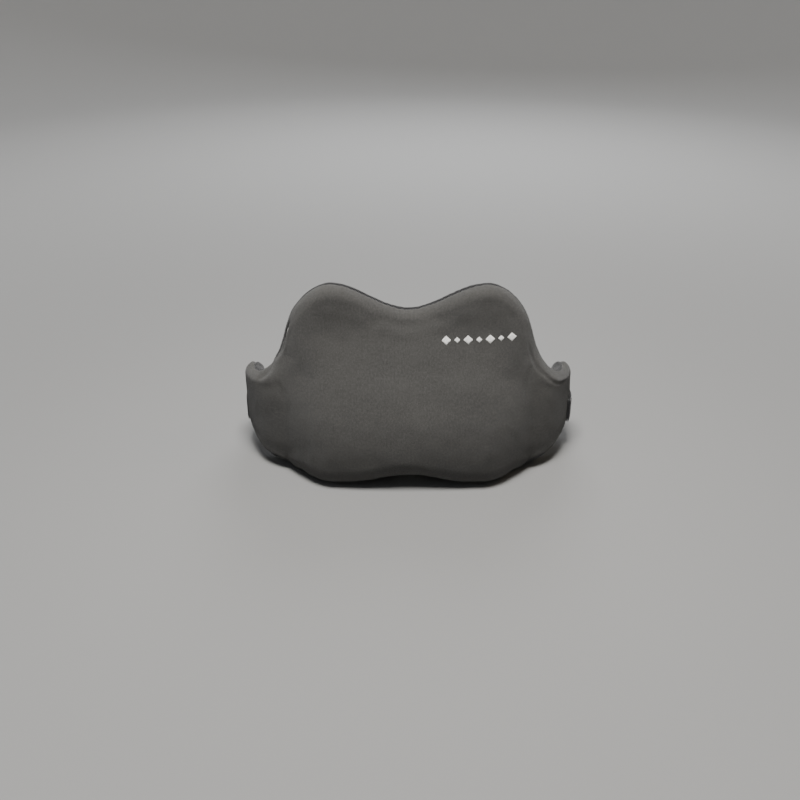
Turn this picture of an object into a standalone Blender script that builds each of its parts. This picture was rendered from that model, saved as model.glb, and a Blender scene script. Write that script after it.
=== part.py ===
"""Butterfly-shaped lumbar support cushion with a zipped cover and a buckled elastic strap.

The cushion is drawn flat, as an outline in (s, z) with a thickness towards the front, and its wings are
then bent back round two upright axes. Right is +X, the front faces -Y and up is +Z. The flat back panel
lies in the plane y = 0 until the last step, which moves the whole part so that the bottom centre of its
box is the origin.
"""

import math

import bmesh
import bpy
import numpy as np
from mathutils import Matrix, Vector

# Outline of the flat cushion. Heights are above the ground and the rest is from the middle or the wing end.
HUMP_HEIGHT = 0.252
HUMP_OFFSET = 0.097
VALLEY_DROP = 0.033
SHOULDER_DROP = 0.042
SHOULDER_FROM_END = 0.078
WAIST_FROM_END = 0.060
WAIST_RISE = 0.033
SADDLE_FROM_END = 0.038
SADDLE_RISE = 0.0045
WING_TOP = 0.119
WING_REACH = 0.228
WING_CORNER = 0.014
WING_LOW = 0.056
WING_HEEL = (0.022, 0.036)
WING_ROOT = (0.056, 0.010)
LOBE_OUTER = 0.128
LOBE_INNER = 0.080
ARCH_RISE = 0.012

# Thickness and bend.
RIM_THICKNESS = 0.0235
BULGE_DEPTH = 0.073
BULGE_HEIGHT = 0.045
BULGE_FADE_HEIGHT = 0.240
BULGE_FLAT = 0.095
BULGE_FADE = 0.205
BULGE_CROWN = 0.0035
HUMP_SWELL = 0.007
HUMP_SWELL_WIDTH = 0.045
FRONT_EDGE_SHARE = 0.45
FRONT_EDGE_MAX = 0.030
BACK_EDGE = 0.009
WING_BEND = 0.068
BEND_RADIUS = 0.035

# Layers, from the outside in, and the seam between the cover's two panels.
COVER_THICKNESS = 0.0012
LINER_THICKNESS = 0.0008
LAYER_GAP = 0.0005
BACK_ROOM = 0.0014
SEAM_GAP = 0.0003
SEAM_TOP = 0.5
SEAM_SIDE = -0.7
SEAM_BOTTOM = 0.15
LINER_SLIT = (0.200, 0.003)
LINER_SLIT_HEIGHT = 0.075

# Zip across the lower back.
ZIP_HEIGHT = 0.032
ZIP_END_MARGIN = 0.026
TAPE_WIDTH = 0.0100
TAPE_SPLIT = 0.0022
TAPE_THICKNESS = 0.0007
TAPE_RECESS = 0.0003
COIL_WIDTH = 0.0022
COIL_THICKNESS = 0.0016
COIL_SPLIT = 0.0004
COIL_START = 0.0040
FIT = 0.0003
STOP_LENGTH = 0.0024
SLIDER_LENGTH = 0.0095
SLIDER_WIDTH = 0.0078
SLIDER_PLATE = 0.0009
SLIDER_WEDGE = (0.0035, 0.0016)
SLIDER_END_ROOM = 0.0050
BRIDGE_LENGTH = 0.0062
BRIDGE_WIDTH = 0.0018
BRIDGE_ROOM = 0.0018
BRIDGE_THICKNESS = 0.0010
PULL_LENGTH = 0.0240
PULL_WIDTH = 0.0062
PULL_THICKNESS = 0.0011
PULL_EYE = 0.0046
PULL_ROOM = 0.0004

# Strap, buckle and adjuster.
STRAP_WIDTH = 0.034
STRAP_HEIGHT = 0.058
STRAP_THICKNESS = 0.0015
TAB_THICKNESS = 0.0020
STRAP_LIFT = 0.0004
STRAP_RUN = 0.018
STRAP_TURN_RADIUS = 0.012
TAB_ON_WING = 0.016
STRAP_ON_WING = 0.012
BUCKLE_WIDTH = 0.046
BUCKLE_THICKNESS = 0.0120
BUCKLE_WALL = 0.0018
FEMALE_LENGTH = 0.042
MALE_BASE_LENGTH = 0.020
BAR_THICKNESS = 0.0030
RAIL_THICKNESS = 0.0080
PRONG_LENGTH = 0.025
PRONG_WIDTH = 0.0060
TONGUE_WIDTH = 0.0070
BUCKLE_CLEARANCE = 0.0004
BUCKLE_SLOT = 0.0055
BUCKLE_JOINT_GAP = 0.0006
BUCKLE_WINDOW = (0.006, 0.016)
BUCKLE_WINDOW_HEIGHT = 0.0067
STRAP_SIDE_ROOM = 0.0008
TAB_TO_BAR = 0.012
STRAP_DRIFT = 0.060
GLIDE_LENGTH = 0.026
GLIDE_WIDTH = 0.043
GLIDE_FRAME = 0.0030
GLIDE_PLATE = 0.0018
GLIDE_BAR = 0.0020
GLIDE_POST = 0.0120
GLIDE_OFFSET = 0.105
RETURN_STUB = 0.012

# Care label, hanging from the seam under the arch. It starts where it clears the arch at its ends.
LABEL_SIZE = (0.024, 0.0075)
LABEL_THICKNESS = 0.0004
LABEL_DROP = 0.0022
LABEL_DEPTH = 0.058

# How finely the soft shapes are cut up.
TOP_STEPS = (("crown", 5), ("hump", 4), ("side", 3), ("saddle", 2), ("wing", 2), ("corner", 2), ("end", 2))
BOTTOM_STEPS = (("end", 2), ("heel", 3), ("root", 4), ("ramp", 4), ("lobe", 3), ("arch", 4))
CORNER_MARGIN = 0.08
FACE_SHARES = (0.35, 0.7, 1.0)
CORE_HEIGHT = 0.084
CORE_FROM_END = 0.038
BAR_SIDES = 12
ROUTE_STEPS = 5
WRAP_STEPS = 8
SMOOTH_BELOW_DEG = 35

BEND_START = WING_REACH - WING_BEND
LINER_OFFSET = COVER_THICKNESS + LAYER_GAP
FOAM_OFFSET = LINER_OFFSET + LINER_THICKNESS + LAYER_GAP
ZIP_HALF = BEND_START - ZIP_END_MARGIN


def clear_scene():
    for obj in list(bpy.data.objects):
        bpy.data.objects.remove(obj, do_unlink=True)


def material(name, colour, roughness, metallic=0.0):
    made = bpy.data.materials.new(name)
    made.use_nodes = True
    shader = made.node_tree.nodes["Principled BSDF"]
    shader.inputs["Base Color"].default_value = (*colour, 1.0)
    shader.inputs["Roughness"].default_value = roughness
    shader.inputs["Metallic"].default_value = metallic
    return made


def add_object(name, verts, faces, finish, smooth=False, hollow=False):
    """An object with its faces turned outwards, or for a hollow one, turned as its outer wall needs."""
    mesh = bpy.data.meshes.new(name)
    mesh.from_pydata(verts, [], faces)
    obj = bpy.data.objects.new(name, mesh)
    bpy.context.scene.collection.objects.link(obj)
    obj.data.materials.append(finish)
    work = bmesh.new()
    work.from_mesh(mesh)
    if not hollow:
        bmesh.ops.recalc_face_normals(work, faces=work.faces)
    elif work.calc_volume(signed=True) < 0:
        bmesh.ops.reverse_faces(work, faces=work.faces)
    work.to_mesh(mesh)
    work.free()
    if smooth:
        mesh.shade_smooth()
        mesh.set_sharp_from_angle(angle=math.radians(SMOOTH_BELOW_DEG))
    return obj


def box_mesh(low, high):
    """Vertices and faces of an upright box."""
    verts = [(x, y, z) for x in (low[0], high[0]) for y in (low[1], high[1]) for z in (low[2], high[2])]
    faces = [(0, 1, 3, 2), (4, 6, 7, 5), (0, 4, 5, 1), (2, 3, 7, 6), (0, 2, 6, 4), (1, 5, 7, 3)]
    return verts, faces


def add_box(name, low, high, finish, bevel=0.0, segments=2):
    verts, faces = box_mesh(low, high)
    obj = add_object(name, verts, faces, finish)
    if bevel:
        soften = obj.modifiers.new("edges", "BEVEL")
        soften.width = bevel
        soften.segments = segments
        soften.limit_method = "ANGLE"
    return obj


def boolean(obj, other, operation):
    """Joins or cuts obj with other, at once, and leaves one plain mesh."""
    step = obj.modifiers.new(operation.lower(), "BOOLEAN")
    step.operation = operation
    step.object = other
    step.solver = "EXACT"
    graph = bpy.context.evaluated_depsgraph_get()
    graph.update()
    made = bpy.data.meshes.new_from_object(obj.evaluated_get(graph))
    obj.modifiers.clear()
    obj.data = made
    bpy.data.objects.remove(other, do_unlink=True)


def cut_box(obj, low, high):
    verts, faces = box_mesh(low, high)
    boolean(obj, add_object("cutter", verts, faces, obj.data.materials[0]), "DIFFERENCE")


def join_box(obj, low, high):
    verts, faces = box_mesh(low, high)
    boolean(obj, add_object("adder", verts, faces, obj.data.materials[0]), "UNION")


def join_bar(obj, x, y, radius, low, high):
    """Joins an upright round bar."""
    ring = arc((x, y), radius, 0, 360, BAR_SIDES)[:-1]
    verts = [(p[0], p[1], z) for z in (low, high) for p in ring]
    faces = [tuple(range(BAR_SIDES)), tuple(range(BAR_SIDES, 2 * BAR_SIDES))]
    for i in range(BAR_SIDES):
        following = (i + 1) % BAR_SIDES
        faces.append((i, following, BAR_SIDES + following, BAR_SIDES + i))
    boolean(obj, add_object("adder", verts, faces, obj.data.materials[0]), "UNION")


# ---------------------------------------------------------------- the cushion's form


def hermite(start, start_deg, end, end_deg, steps):
    """Points from start up to, not including, end, on a cubic that leaves and arrives at the given angles."""
    p, q = np.array(start), np.array(end)
    pull = np.linalg.norm(q - p)
    a = pull * np.array([math.cos(math.radians(start_deg)), math.sin(math.radians(start_deg))])
    b = pull * np.array([math.cos(math.radians(end_deg)), math.sin(math.radians(end_deg))])
    points = []
    for i in range(steps):
        t = i / steps
        points.append(
            (2 * t**3 - 3 * t**2 + 1) * p
            + (t**3 - 2 * t**2 + t) * a
            + (3 * t**2 - 2 * t**3) * q
            + (t**3 - t**2) * b
        )
    return points


def half_outline():
    """The right half, from the valley round the wing to the arch. The wing end's middle is half way."""
    end = WING_REACH
    valley = (0.0, HUMP_HEIGHT - VALLEY_DROP)
    hump = (HUMP_OFFSET, HUMP_HEIGHT)
    shoulder = (end - SHOULDER_FROM_END, HUMP_HEIGHT - SHOULDER_DROP)
    waist = (end - WAIST_FROM_END, WING_TOP + WAIST_RISE)
    saddle = (end - SADDLE_FROM_END, WING_TOP + SADDLE_RISE)
    corner_in = (end - WING_CORNER, WING_TOP)
    corner_out = (end, WING_TOP - WING_CORNER)
    middle = (end, (WING_TOP - WING_CORNER + WING_LOW) / 2)
    low = (end, WING_LOW)
    heel = (end - WING_HEEL[0], WING_HEEL[1])
    root = (end - WING_ROOT[0], WING_ROOT[1])
    steps = dict(TOP_STEPS)
    points = hermite(valley, 0, hump, 0, steps["crown"])
    points += hermite(hump, 0, shoulder, -68, steps["hump"])
    points += hermite(shoulder, -68, waist, -70, steps["side"])
    points += hermite(waist, -70, saddle, -22, steps["saddle"])
    points += hermite(saddle, -22, corner_in, 0, steps["wing"])
    points += hermite(corner_in, 0, corner_out, -90, steps["corner"])
    points += hermite(corner_out, -90, middle, -90, steps["end"])
    steps = dict(BOTTOM_STEPS)
    points += hermite(middle, -90, low, -90, steps["end"])
    points += hermite(low, -90, heel, -138, steps["heel"])
    points += hermite(heel, -138, root, -152, steps["root"])
    points += hermite(root, -152, (LOBE_OUTER, 0.0), -180, steps["ramp"])
    points += hermite((LOBE_OUTER, 0.0), 180, (LOBE_INNER, 0.0), 180, steps["lobe"])
    points += hermite((LOBE_INNER, 0.0), 180, (0.0, ARCH_RISE), 180, steps["arch"])
    points.append(np.array([0.0, ARCH_RISE]))
    return points


def fade(value, full, none):
    """1 up to full, 0 from none on, and a half cosine between them."""
    share = min(max((value - full) / (none - full), 0.0), 1.0)
    return 0.5 + 0.5 * math.cos(math.pi * share)


def thickness(s, z):
    """From the back panel to the front, at a point of the flat cushion."""
    across = fade(abs(s), BULGE_FLAT, BULGE_FADE)
    up = fade(z, BULGE_HEIGHT, BULGE_FADE_HEIGHT)
    crown = BULGE_CROWN * (s / BULGE_FLAT) ** 2
    swell = HUMP_SWELL * math.exp(-(((abs(s) - HUMP_OFFSET) / HUMP_SWELL_WIDTH) ** 2))
    swell *= fade(HUMP_HEIGHT - z, 0.0, HUMP_HEIGHT / 2)
    return RIM_THICKNESS + (BULGE_DEPTH - crown) * across * up + swell


def bend(s, y, z):
    """Where a point of the flat cushion goes when its wings are bent back."""
    if abs(s) <= BEND_START:
        return (s, y, z)
    angle = (abs(s) - BEND_START) / BEND_RADIUS
    reach = BEND_RADIUS - y
    x = BEND_START + reach * math.sin(angle)
    return (math.copysign(x, s), BEND_RADIUS - reach * math.cos(angle), z)


class Outline:
    """The closed outline, with its inward normals and the core point that each of its points looks to."""

    def __init__(self):
        right = half_outline()
        half = len(right) - 1
        core = []
        for i, point in enumerate(right):
            reach = (point[0] + right[half - i][0]) / 2
            core.append(np.array([min(reach, WING_REACH - CORE_FROM_END), CORE_HEIGHT]))
        flip = np.array([-1.0, 1.0])
        self.points = right + [p * flip for p in right[-2:0:-1]]
        self.core = core + [c * flip for c in core[-2:0:-1]]
        count = len(self.points)
        self.inward = []
        for i in range(count):
            along = self.points[(i + 1) % count] - self.points[i - 1]
            along = along / np.linalg.norm(along)
            self.inward.append(np.array([along[1], -along[0]]))
        self.count = count
        self.cuts = [edge_cuts(point) for point in self.points]


def edge_point(outline, k, t, offset, room):
    """A corner of the rim's cross-section. t goes from -1, at the front face, over 0 and 1, at the ends of
    the side wall, to 2, at the back face. offset is how far inside the cover's skin, room how much more
    at the back."""
    point, inward = outline.points[k], outline.inward[k]
    front = min(FRONT_EDGE_SHARE * thickness(*point), FRONT_EDGE_MAX)
    if t <= 0:
        turn = -t * math.pi / 2
        s, z = point + inward * (front - (front - offset) * math.cos(turn))
        return s, -(thickness(s, z) - front) - (front - offset) * math.sin(turn), z
    if t < 1:
        ends = [np.array(edge_point(outline, k, end, offset, room)) for end in (0.0, 1.0)]
        return tuple(ends[0] * (1 - t) + ends[1] * t)
    turn = (t - 1) * math.pi / 2
    s, z = point + inward * (BACK_EDGE - (BACK_EDGE - offset) * math.cos(turn))
    return s, -BACK_EDGE + (BACK_EDGE - offset - room) * math.sin(turn), z


def seam_place(point):
    """t of the seam between the cover's panels. It runs forward round the lower sides and wing ends."""
    s, z = point
    lower = fade(z, WING_LOW, WING_TOP + WAIST_RISE)
    outer = 1 - fade(abs(s), LOBE_OUTER, WING_REACH - WING_ROOT[0])
    low_seam = SEAM_BOTTOM + (SEAM_SIDE - SEAM_BOTTOM) * outer
    return SEAM_TOP + (low_seam - SEAM_TOP) * lower


def edge_cuts(point):
    """The t of every corner of the rim's cross-section. All layers share them, so they nest."""
    seam = seam_place(point)
    front = min(seam, 0.0) - CORNER_MARGIN
    wall = max(seam, 0.0)
    back = wall + CORNER_MARGIN * (1 - wall)
    turn = [-1 + (front + 1) * share for share in (0, 1 / 3, 2 / 3, 1)]
    return [*turn, seam, (seam + back) / 2, back, 1.0, 1.5, 2.0]


def edge_between(outline, k, t, offset, room):
    """The same cross-section at any t, on the straight line between its two nearest corners."""
    cuts = outline.cuts[k]
    low = max(c for c in cuts if c <= t)
    high = min(c for c in cuts if c >= t)
    a = np.array(edge_point(outline, k, low, offset, room))
    if low == high:
        return a
    b = np.array(edge_point(outline, k, high, offset, room))
    return a + (b - a) * (t - low) / (high - low)


def seam_at(outline, k, side):
    """t where the front panel (side -1) or the back panel (side 1) ends, half the seam gap from the seam."""
    seam = seam_place(outline.points[k])
    step = CORNER_MARGIN / 4
    around = edge_between(outline, k, seam + step, 0, 0) - edge_between(outline, k, seam - step, 0, 0)
    return seam + side * SEAM_GAP / 2 * (2 * step) / np.linalg.norm(around)


def face_points(outline, k, t_end, offset, room):
    """The rings from the rim to the core, on the front face (t_end -1) or the back face (2)."""
    s, y, z = edge_point(outline, k, t_end, offset, room)
    rings = []
    for share in FACE_SHARES:
        p, q = np.array([s, z]) * (1 - share) + outline.core[k] * share
        depth = offset - thickness(p, q) if t_end < 0 else -offset - room
        rings.append((p, depth, q))
    return rings


def profile(outline, k, offset, room, side=0):
    """All the points of outline point k, from the front core to the back core. side -1 keeps the front
    panel's, 1 the back panel's and 0 both."""
    cuts = outline.cuts[k]
    front = face_points(outline, k, cuts[0], offset, room)[::-1]
    back = face_points(outline, k, cuts[-1], offset, room)
    if side == 0:
        return front + [tuple(edge_point(outline, k, t, offset, room)) for t in cuts] + back
    stop = seam_at(outline, k, side)
    if side < 0:
        return front + [tuple(edge_between(outline, k, min(t, stop), offset, room)) for t in cuts]
    return [tuple(edge_between(outline, k, max(t, stop), offset, room)) for t in cuts] + back


class Skin:
    """Collects bent points, welding those that coincide, and the faces between them."""

    def __init__(self):
        self.index = {}
        self.verts = []
        self.faces = []

    def vertex(self, point):
        place = bend(*point)
        key = tuple(round(c * 1e6) for c in place)
        if key not in self.index:
            self.index[key] = len(self.verts)
            self.verts.append(place)
        return self.index[key]

    def face(self, corners):
        loop = [self.vertex(c) for c in corners]
        kept = [v for i, v in enumerate(loop) if v != loop[i - 1]]
        if len(set(kept)) == len(kept) >= 3:
            self.faces.append(kept)

    def sheet(self, columns, inner=False):
        """The triangles between neighbouring columns, all the way round. They are split alike in every
        layer, so that layers nest, and the left half mirrors the right."""
        for k in range(len(columns)):
            a, b = columns[k - 1], columns[k]
            for i in range(len(a) - 1):
                if 1 <= k <= len(columns) // 2:
                    pair = ((a[i], a[i + 1], b[i + 1]), (a[i], b[i + 1], b[i]))
                else:
                    pair = ((a[i], a[i + 1], b[i]), (a[i + 1], b[i + 1], b[i]))
                for corners in pair:
                    self.face(corners[::-1] if inner else corners)


def layer(outline, offset, room, side=0):
    return [profile(outline, k, offset, room, side) for k in range(outline.count)]


def closed_form(outline, offset, room):
    skin = Skin()
    skin.sheet(layer(outline, offset, room))
    return skin


def shell_form(outline, offset, wall, room_out, room_in, side=0):
    """A wall of even thickness. With a side it is one panel, closed along the seam."""
    skin = Skin()
    outside = layer(outline, offset, room_out, side)
    inside = layer(outline, offset + wall, room_in, side)
    skin.sheet(outside)
    skin.sheet(inside, inner=True)
    if side:
        seam = -1 if side < 0 else 0
        rim = [[o[seam], i[seam]] for o, i in zip(outside, inside)]
        skin.sheet(rim, inner=side > 0)
    return skin


def make_foam(outline, finish):
    form = closed_form(outline, FOAM_OFFSET, BACK_ROOM)
    return add_object("foam_core", form.verts, form.faces, finish, smooth=True)


def make_liner(outline, finish):
    """A thin stretch bag round the foam, with the slit that the foam goes in through."""
    form = shell_form(outline, LINER_OFFSET, LINER_THICKNESS, BACK_ROOM, BACK_ROOM)
    liner = add_object("inner_liner", form.verts, form.faces, finish, smooth=True, hollow=True)
    half, gap = LINER_SLIT[0] / 2, LINER_SLIT[1] / 2
    behind = -LINER_OFFSET - BACK_ROOM
    cut_box(
        liner,
        (-half, behind - 2 * LINER_THICKNESS, LINER_SLIT_HEIGHT - gap),
        (half, behind + LINER_THICKNESS, LINER_SLIT_HEIGHT + gap),
    )
    return liner


def make_cover(outline, front_finish, back_finish):
    """Two panels that meet at the seam. The back one has the window that the zip is sewn into."""
    front = shell_form(outline, 0.0, COVER_THICKNESS, 0.0, 0.0, side=-1)
    back = shell_form(outline, 0.0, COVER_THICKNESS, 0.0, 0.0, side=1)
    add_object("cover_front", front.verts, front.faces, front_finish, smooth=True)
    panel = add_object("cover_back", back.verts, back.faces, back_finish, smooth=True)
    half_x = ZIP_HALF + FIT
    half_z = TAPE_WIDTH + TAPE_SPLIT / 2 + FIT
    cut_box(
        panel,
        (-half_x, -2 * COVER_THICKNESS, ZIP_HEIGHT - half_z),
        (half_x, COVER_THICKNESS, ZIP_HEIGHT + half_z),
    )


# ---------------------------------------------------------------- zip


def zip_span():
    """Left and right ends of the coils, and the slider's middle with the zip closed."""
    slider = ZIP_HALF - SLIDER_END_ROOM - SLIDER_LENGTH / 2
    coil_end = slider + SLIDER_LENGTH / 2 - SLIDER_WEDGE[0] - FIT
    return -ZIP_HALF + COIL_START, coil_end, slider


def make_zip(tape_finish, coil_finish, metal):
    start, end, slider = zip_span()
    coil_low, coil_high = FIT - TAPE_RECESS, FIT - TAPE_RECESS + COIL_THICKNESS
    clip = coil_low, coil_high + TAPE_THICKNESS
    for name, up in (("upper", 1), ("lower", -1)):
        tape = sorted(ZIP_HEIGHT + up * z for z in (TAPE_SPLIT / 2, TAPE_SPLIT / 2 + TAPE_WIDTH))
        coil = sorted(ZIP_HEIGHT + up * z for z in (COIL_SPLIT / 2, COIL_SPLIT / 2 + COIL_WIDTH))
        add_box(
            "zipper_tape_" + name,
            (-ZIP_HALF, -TAPE_RECESS - TAPE_THICKNESS, tape[0]),
            (ZIP_HALF, -TAPE_RECESS, tape[1]),
            tape_finish,
        )
        add_box(
            "zipper_coil_" + name,
            (start, coil_low, coil[0]),
            (end, coil_high, coil[1]),
            coil_finish,
            COIL_THICKNESS / 4,
        )
        stop = slider + SLIDER_LENGTH / 2 + FIT
        add_box(
            "zipper_top_stop_" + name,
            (stop, clip[0], coil[0]),
            (stop + STOP_LENGTH, clip[1], coil[1]),
            metal,
            COIL_THICKNESS / 4,
        )
    across = COIL_SPLIT / 2 + COIL_WIDTH
    add_box(
        "zipper_bottom_stop",
        (start - FIT - STOP_LENGTH, clip[0], ZIP_HEIGHT - across),
        (start - FIT, clip[1], ZIP_HEIGHT + across),
        metal,
        COIL_THICKNESS / 4,
    )


def make_slider(metal):
    """Two plates joined by the wedge that parts the coils, with a bridge on top for the pull."""
    x = zip_span()[2]
    half, side = SLIDER_LENGTH / 2, SLIDER_WIDTH / 2
    under = -TAPE_RECESS - TAPE_THICKNESS - FIT
    low = FIT - TAPE_RECESS + COIL_THICKNESS + FIT
    top = low + SLIDER_PLATE
    bury = SLIDER_PLATE / 3
    slider = add_box(
        "zipper_slider", (x - half, low, ZIP_HEIGHT - side), (x + half, top, ZIP_HEIGHT + side), metal
    )
    lip = COIL_SPLIT / 2 + COIL_WIDTH + FIT
    for up in (1, -1):
        z = sorted((ZIP_HEIGHT + up * lip, ZIP_HEIGHT + up * side))
        join_box(slider, (x - half, FIT - TAPE_RECESS, z[0]), (x + half, low + bury, z[1]))
    wedge, wide = SLIDER_WEDGE
    join_box(
        slider,
        (x + half - wedge, under - bury, ZIP_HEIGHT - wide / 2),
        (x + half, low + bury, ZIP_HEIGHT + wide / 2),
    )
    join_box(
        slider, (x - half, under - SLIDER_PLATE, ZIP_HEIGHT - side), (x + half, under, ZIP_HEIGHT + side)
    )
    reach, thick = BRIDGE_LENGTH / 2, BRIDGE_THICKNESS
    z0, z1 = ZIP_HEIGHT - BRIDGE_WIDTH / 2, ZIP_HEIGHT + BRIDGE_WIDTH / 2
    roof = top + BRIDGE_ROOM
    join_box(slider, (x - reach, top - bury, z0), (x - reach + thick, roof + thick, z1))
    join_box(slider, (x + reach - thick, top - bury, z0), (x + reach, roof + thick, z1))
    join_box(slider, (x - reach + bury, roof, z0), (x + reach - bury, roof + thick, z1))
    set_origin(slider, (x, 0.0, ZIP_HEIGHT))
    return (x, top + BRIDGE_ROOM / 2, ZIP_HEIGHT)


def make_pull(pivot, metal):
    """A flat tab whose eye goes round the bridge. Its crossbar turns under the bridge."""
    x, y, z = pivot
    thick, side, bar = PULL_THICKNESS / 2, PULL_WIDTH / 2, BRIDGE_THICKNESS / 2
    pull = add_box("zipper_pull", (x - PULL_LENGTH, y - thick, z - side), (x + bar, y + thick, z + side), metal)
    eye = BRIDGE_WIDTH / 2 + PULL_ROOM
    cut_box(pull, (x - PULL_EYE, y - 2 * thick, z - eye), (x - bar, y + 2 * thick, z + eye))
    hole = PULL_LENGTH - PULL_WIDTH
    cut_box(pull, (x - hole - eye, y - 2 * thick, z - eye), (x - hole + eye, y + 2 * thick, z + eye))
    set_origin(pull, pivot)
    return pull


# ---------------------------------------------------------------- strap, buckle and adjuster


def ribbon(name, path, thick, finish):
    """A flat band standing on edge along a path in plan, STRAP_WIDTH wide about STRAP_HEIGHT."""
    path = [np.array(p, float) for p in path]
    verts, faces = [], []
    for i, point in enumerate(path):
        before = point - path[i - 1] if i else path[1] - point
        after = path[i + 1] - point if i + 1 < len(path) else before
        a, b = before / np.linalg.norm(before), after / np.linalg.norm(after)
        normal = np.array([-(a + b)[1], (a + b)[0]])
        normal *= thick / 2 / (normal @ np.array([-a[1], a[0]]))
        for edge in (point + normal, point - normal):
            for z in (STRAP_HEIGHT - STRAP_WIDTH / 2, STRAP_HEIGHT + STRAP_WIDTH / 2):
                verts.append((edge[0], edge[1], z))
    for i in range(len(path) - 1):
        p, q = 4 * i, 4 * i + 4
        for a, b in ((0, 1), (1, 3), (3, 2), (2, 0)):
            faces.append((p + a, p + b, q + b, q + a))
    last = 4 * (len(path) - 1)
    faces.append((0, 2, 3, 1))
    faces.append((last, last + 1, last + 3, last + 2))
    return add_object(name, verts, faces, finish, smooth=True)


def arc(centre, radius, start_deg, end_deg, steps):
    angles = [math.radians(start_deg + (end_deg - start_deg) * i / steps) for i in range(steps + 1)]
    return [(centre[0] + radius * math.cos(a), centre[1] + radius * math.sin(a)) for a in angles]


def strap_route(lift, on_wing):
    """The right end's path in plan at a height over the wing's outer face: along the face, straight off
    its end and round to run towards -X. Returns the points and the turn's centre."""
    end = WING_REACH - FRONT_EDGE_SHARE * RIM_THICKNESS
    points = []
    for i in range(ROUTE_STEPS + 1):
        s = end - on_wing * (1 - i / ROUTE_STEPS)
        depth = max(thickness(s, STRAP_HEIGHT + side * STRAP_WIDTH / 2) for side in (-1, 0, 1))
        points.append(bend(s, -depth - lift, 0)[:2])
    angle = (end - BEND_START) / BEND_RADIUS
    heading = np.array([math.cos(angle), math.sin(angle)])
    left = np.array([-heading[1], heading[0]])
    base = np.array(bend(end, -RIM_THICKNESS, 0)[:2]) + heading * STRAP_RUN
    centre = base + left * STRAP_TURN_RADIUS
    turn = arc(centre, STRAP_TURN_RADIUS + lift, math.degrees(angle) - 90, 90, ROUTE_STEPS)
    return points + turn, centre


def strap_places():
    """The buckle's mid-plane and bars, worked out from where the strap leaves the right wing."""
    centre = strap_route(0.0, TAB_ON_WING)[1]
    middle = centre[1] + STRAP_TURN_RADIUS + STRAP_LIFT + TAB_THICKNESS + STRAP_LIFT / 2
    tab_bar = centre[0] - TAB_TO_BAR
    female_end = tab_bar + BAR_THICKNESS / 2 - FEMALE_LENGTH
    male_end = female_end - BUCKLE_JOINT_GAP - MALE_BASE_LENGTH
    return middle, tab_bar, female_end, male_end, male_end + BAR_THICKNESS / 2


def wrap_radius(thick):
    return BAR_THICKNESS / 2 + FIT + thick / 2


def make_tab(webbing):
    """Folded webbing: out from the wing, round the buckle's bar and back."""
    middle, bar = strap_places()[:2]
    radius = wrap_radius(TAB_THICKNESS)
    inner = strap_route(STRAP_LIFT + TAB_THICKNESS / 2, TAB_ON_WING)[0]
    outer = strap_route(2 * STRAP_LIFT + 1.5 * TAB_THICKNESS, TAB_ON_WING)[0]
    turn = arc((bar, middle), radius, 90, 270, WRAP_STEPS)
    ribbon("strap_tab", outer + turn + inner[::-1], TAB_THICKNESS, webbing)


def web_end(obj, x_bar, x_body, middle):
    """The rails and the bar at the end of a buckle half that webbing goes round."""
    half = BUCKLE_WIDTH / 2
    opening = STRAP_WIDTH / 2 + STRAP_SIDE_ROOM
    out = math.copysign(BAR_THICKNESS / 2, x_bar - x_body)
    bury = math.copysign(BUCKLE_WALL / 2, x_body - x_bar)
    rail = RAIL_THICKNESS / 2
    for up in (1, -1):
        x = sorted((x_body + bury, x_bar + out))
        z = sorted((STRAP_HEIGHT + up * opening, STRAP_HEIGHT + up * half))
        join_box(obj, (x[0], middle - rail, z[0]), (x[1], middle + rail, z[1]))
    into = opening + BUCKLE_WALL / 2
    join_bar(obj, x_bar, middle, BAR_THICKNESS / 2, STRAP_HEIGHT - into, STRAP_HEIGHT + into)


def make_female(plastic):
    """The buckle's socket: a flat mouth for the prongs, with a window in each side for their heads."""
    middle, bar, mouth = strap_places()[:3]
    half, thick = BUCKLE_WIDTH / 2, BUCKLE_THICKNESS / 2
    body_end = bar - BAR_THICKNESS / 2 - BUCKLE_SLOT
    female = add_box(
        "buckle_female",
        (mouth, middle - thick, STRAP_HEIGHT - half),
        (body_end, middle + thick, STRAP_HEIGHT + half),
        plastic,
    )
    room_y, room_z = thick - BUCKLE_WALL, half - BUCKLE_WALL
    depth = mouth + PRONG_LENGTH + BUCKLE_JOINT_GAP
    cut_box(
        female,
        (mouth - BUCKLE_WALL, middle - room_y, STRAP_HEIGHT - room_z),
        (depth, middle + room_y, STRAP_HEIGHT + room_z),
    )
    near, far = BUCKLE_WINDOW
    high = BUCKLE_WINDOW_HEIGHT / 2
    for up in (1, -1):
        z = sorted((STRAP_HEIGHT + up * (room_z - BUCKLE_WALL), STRAP_HEIGHT + up * (half + BUCKLE_WALL)))
        cut_box(female, (mouth + near, middle - high, z[0]), (mouth + far, middle + high, z[1]))
    web_end(female, bar, body_end, middle)
    return female


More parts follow.
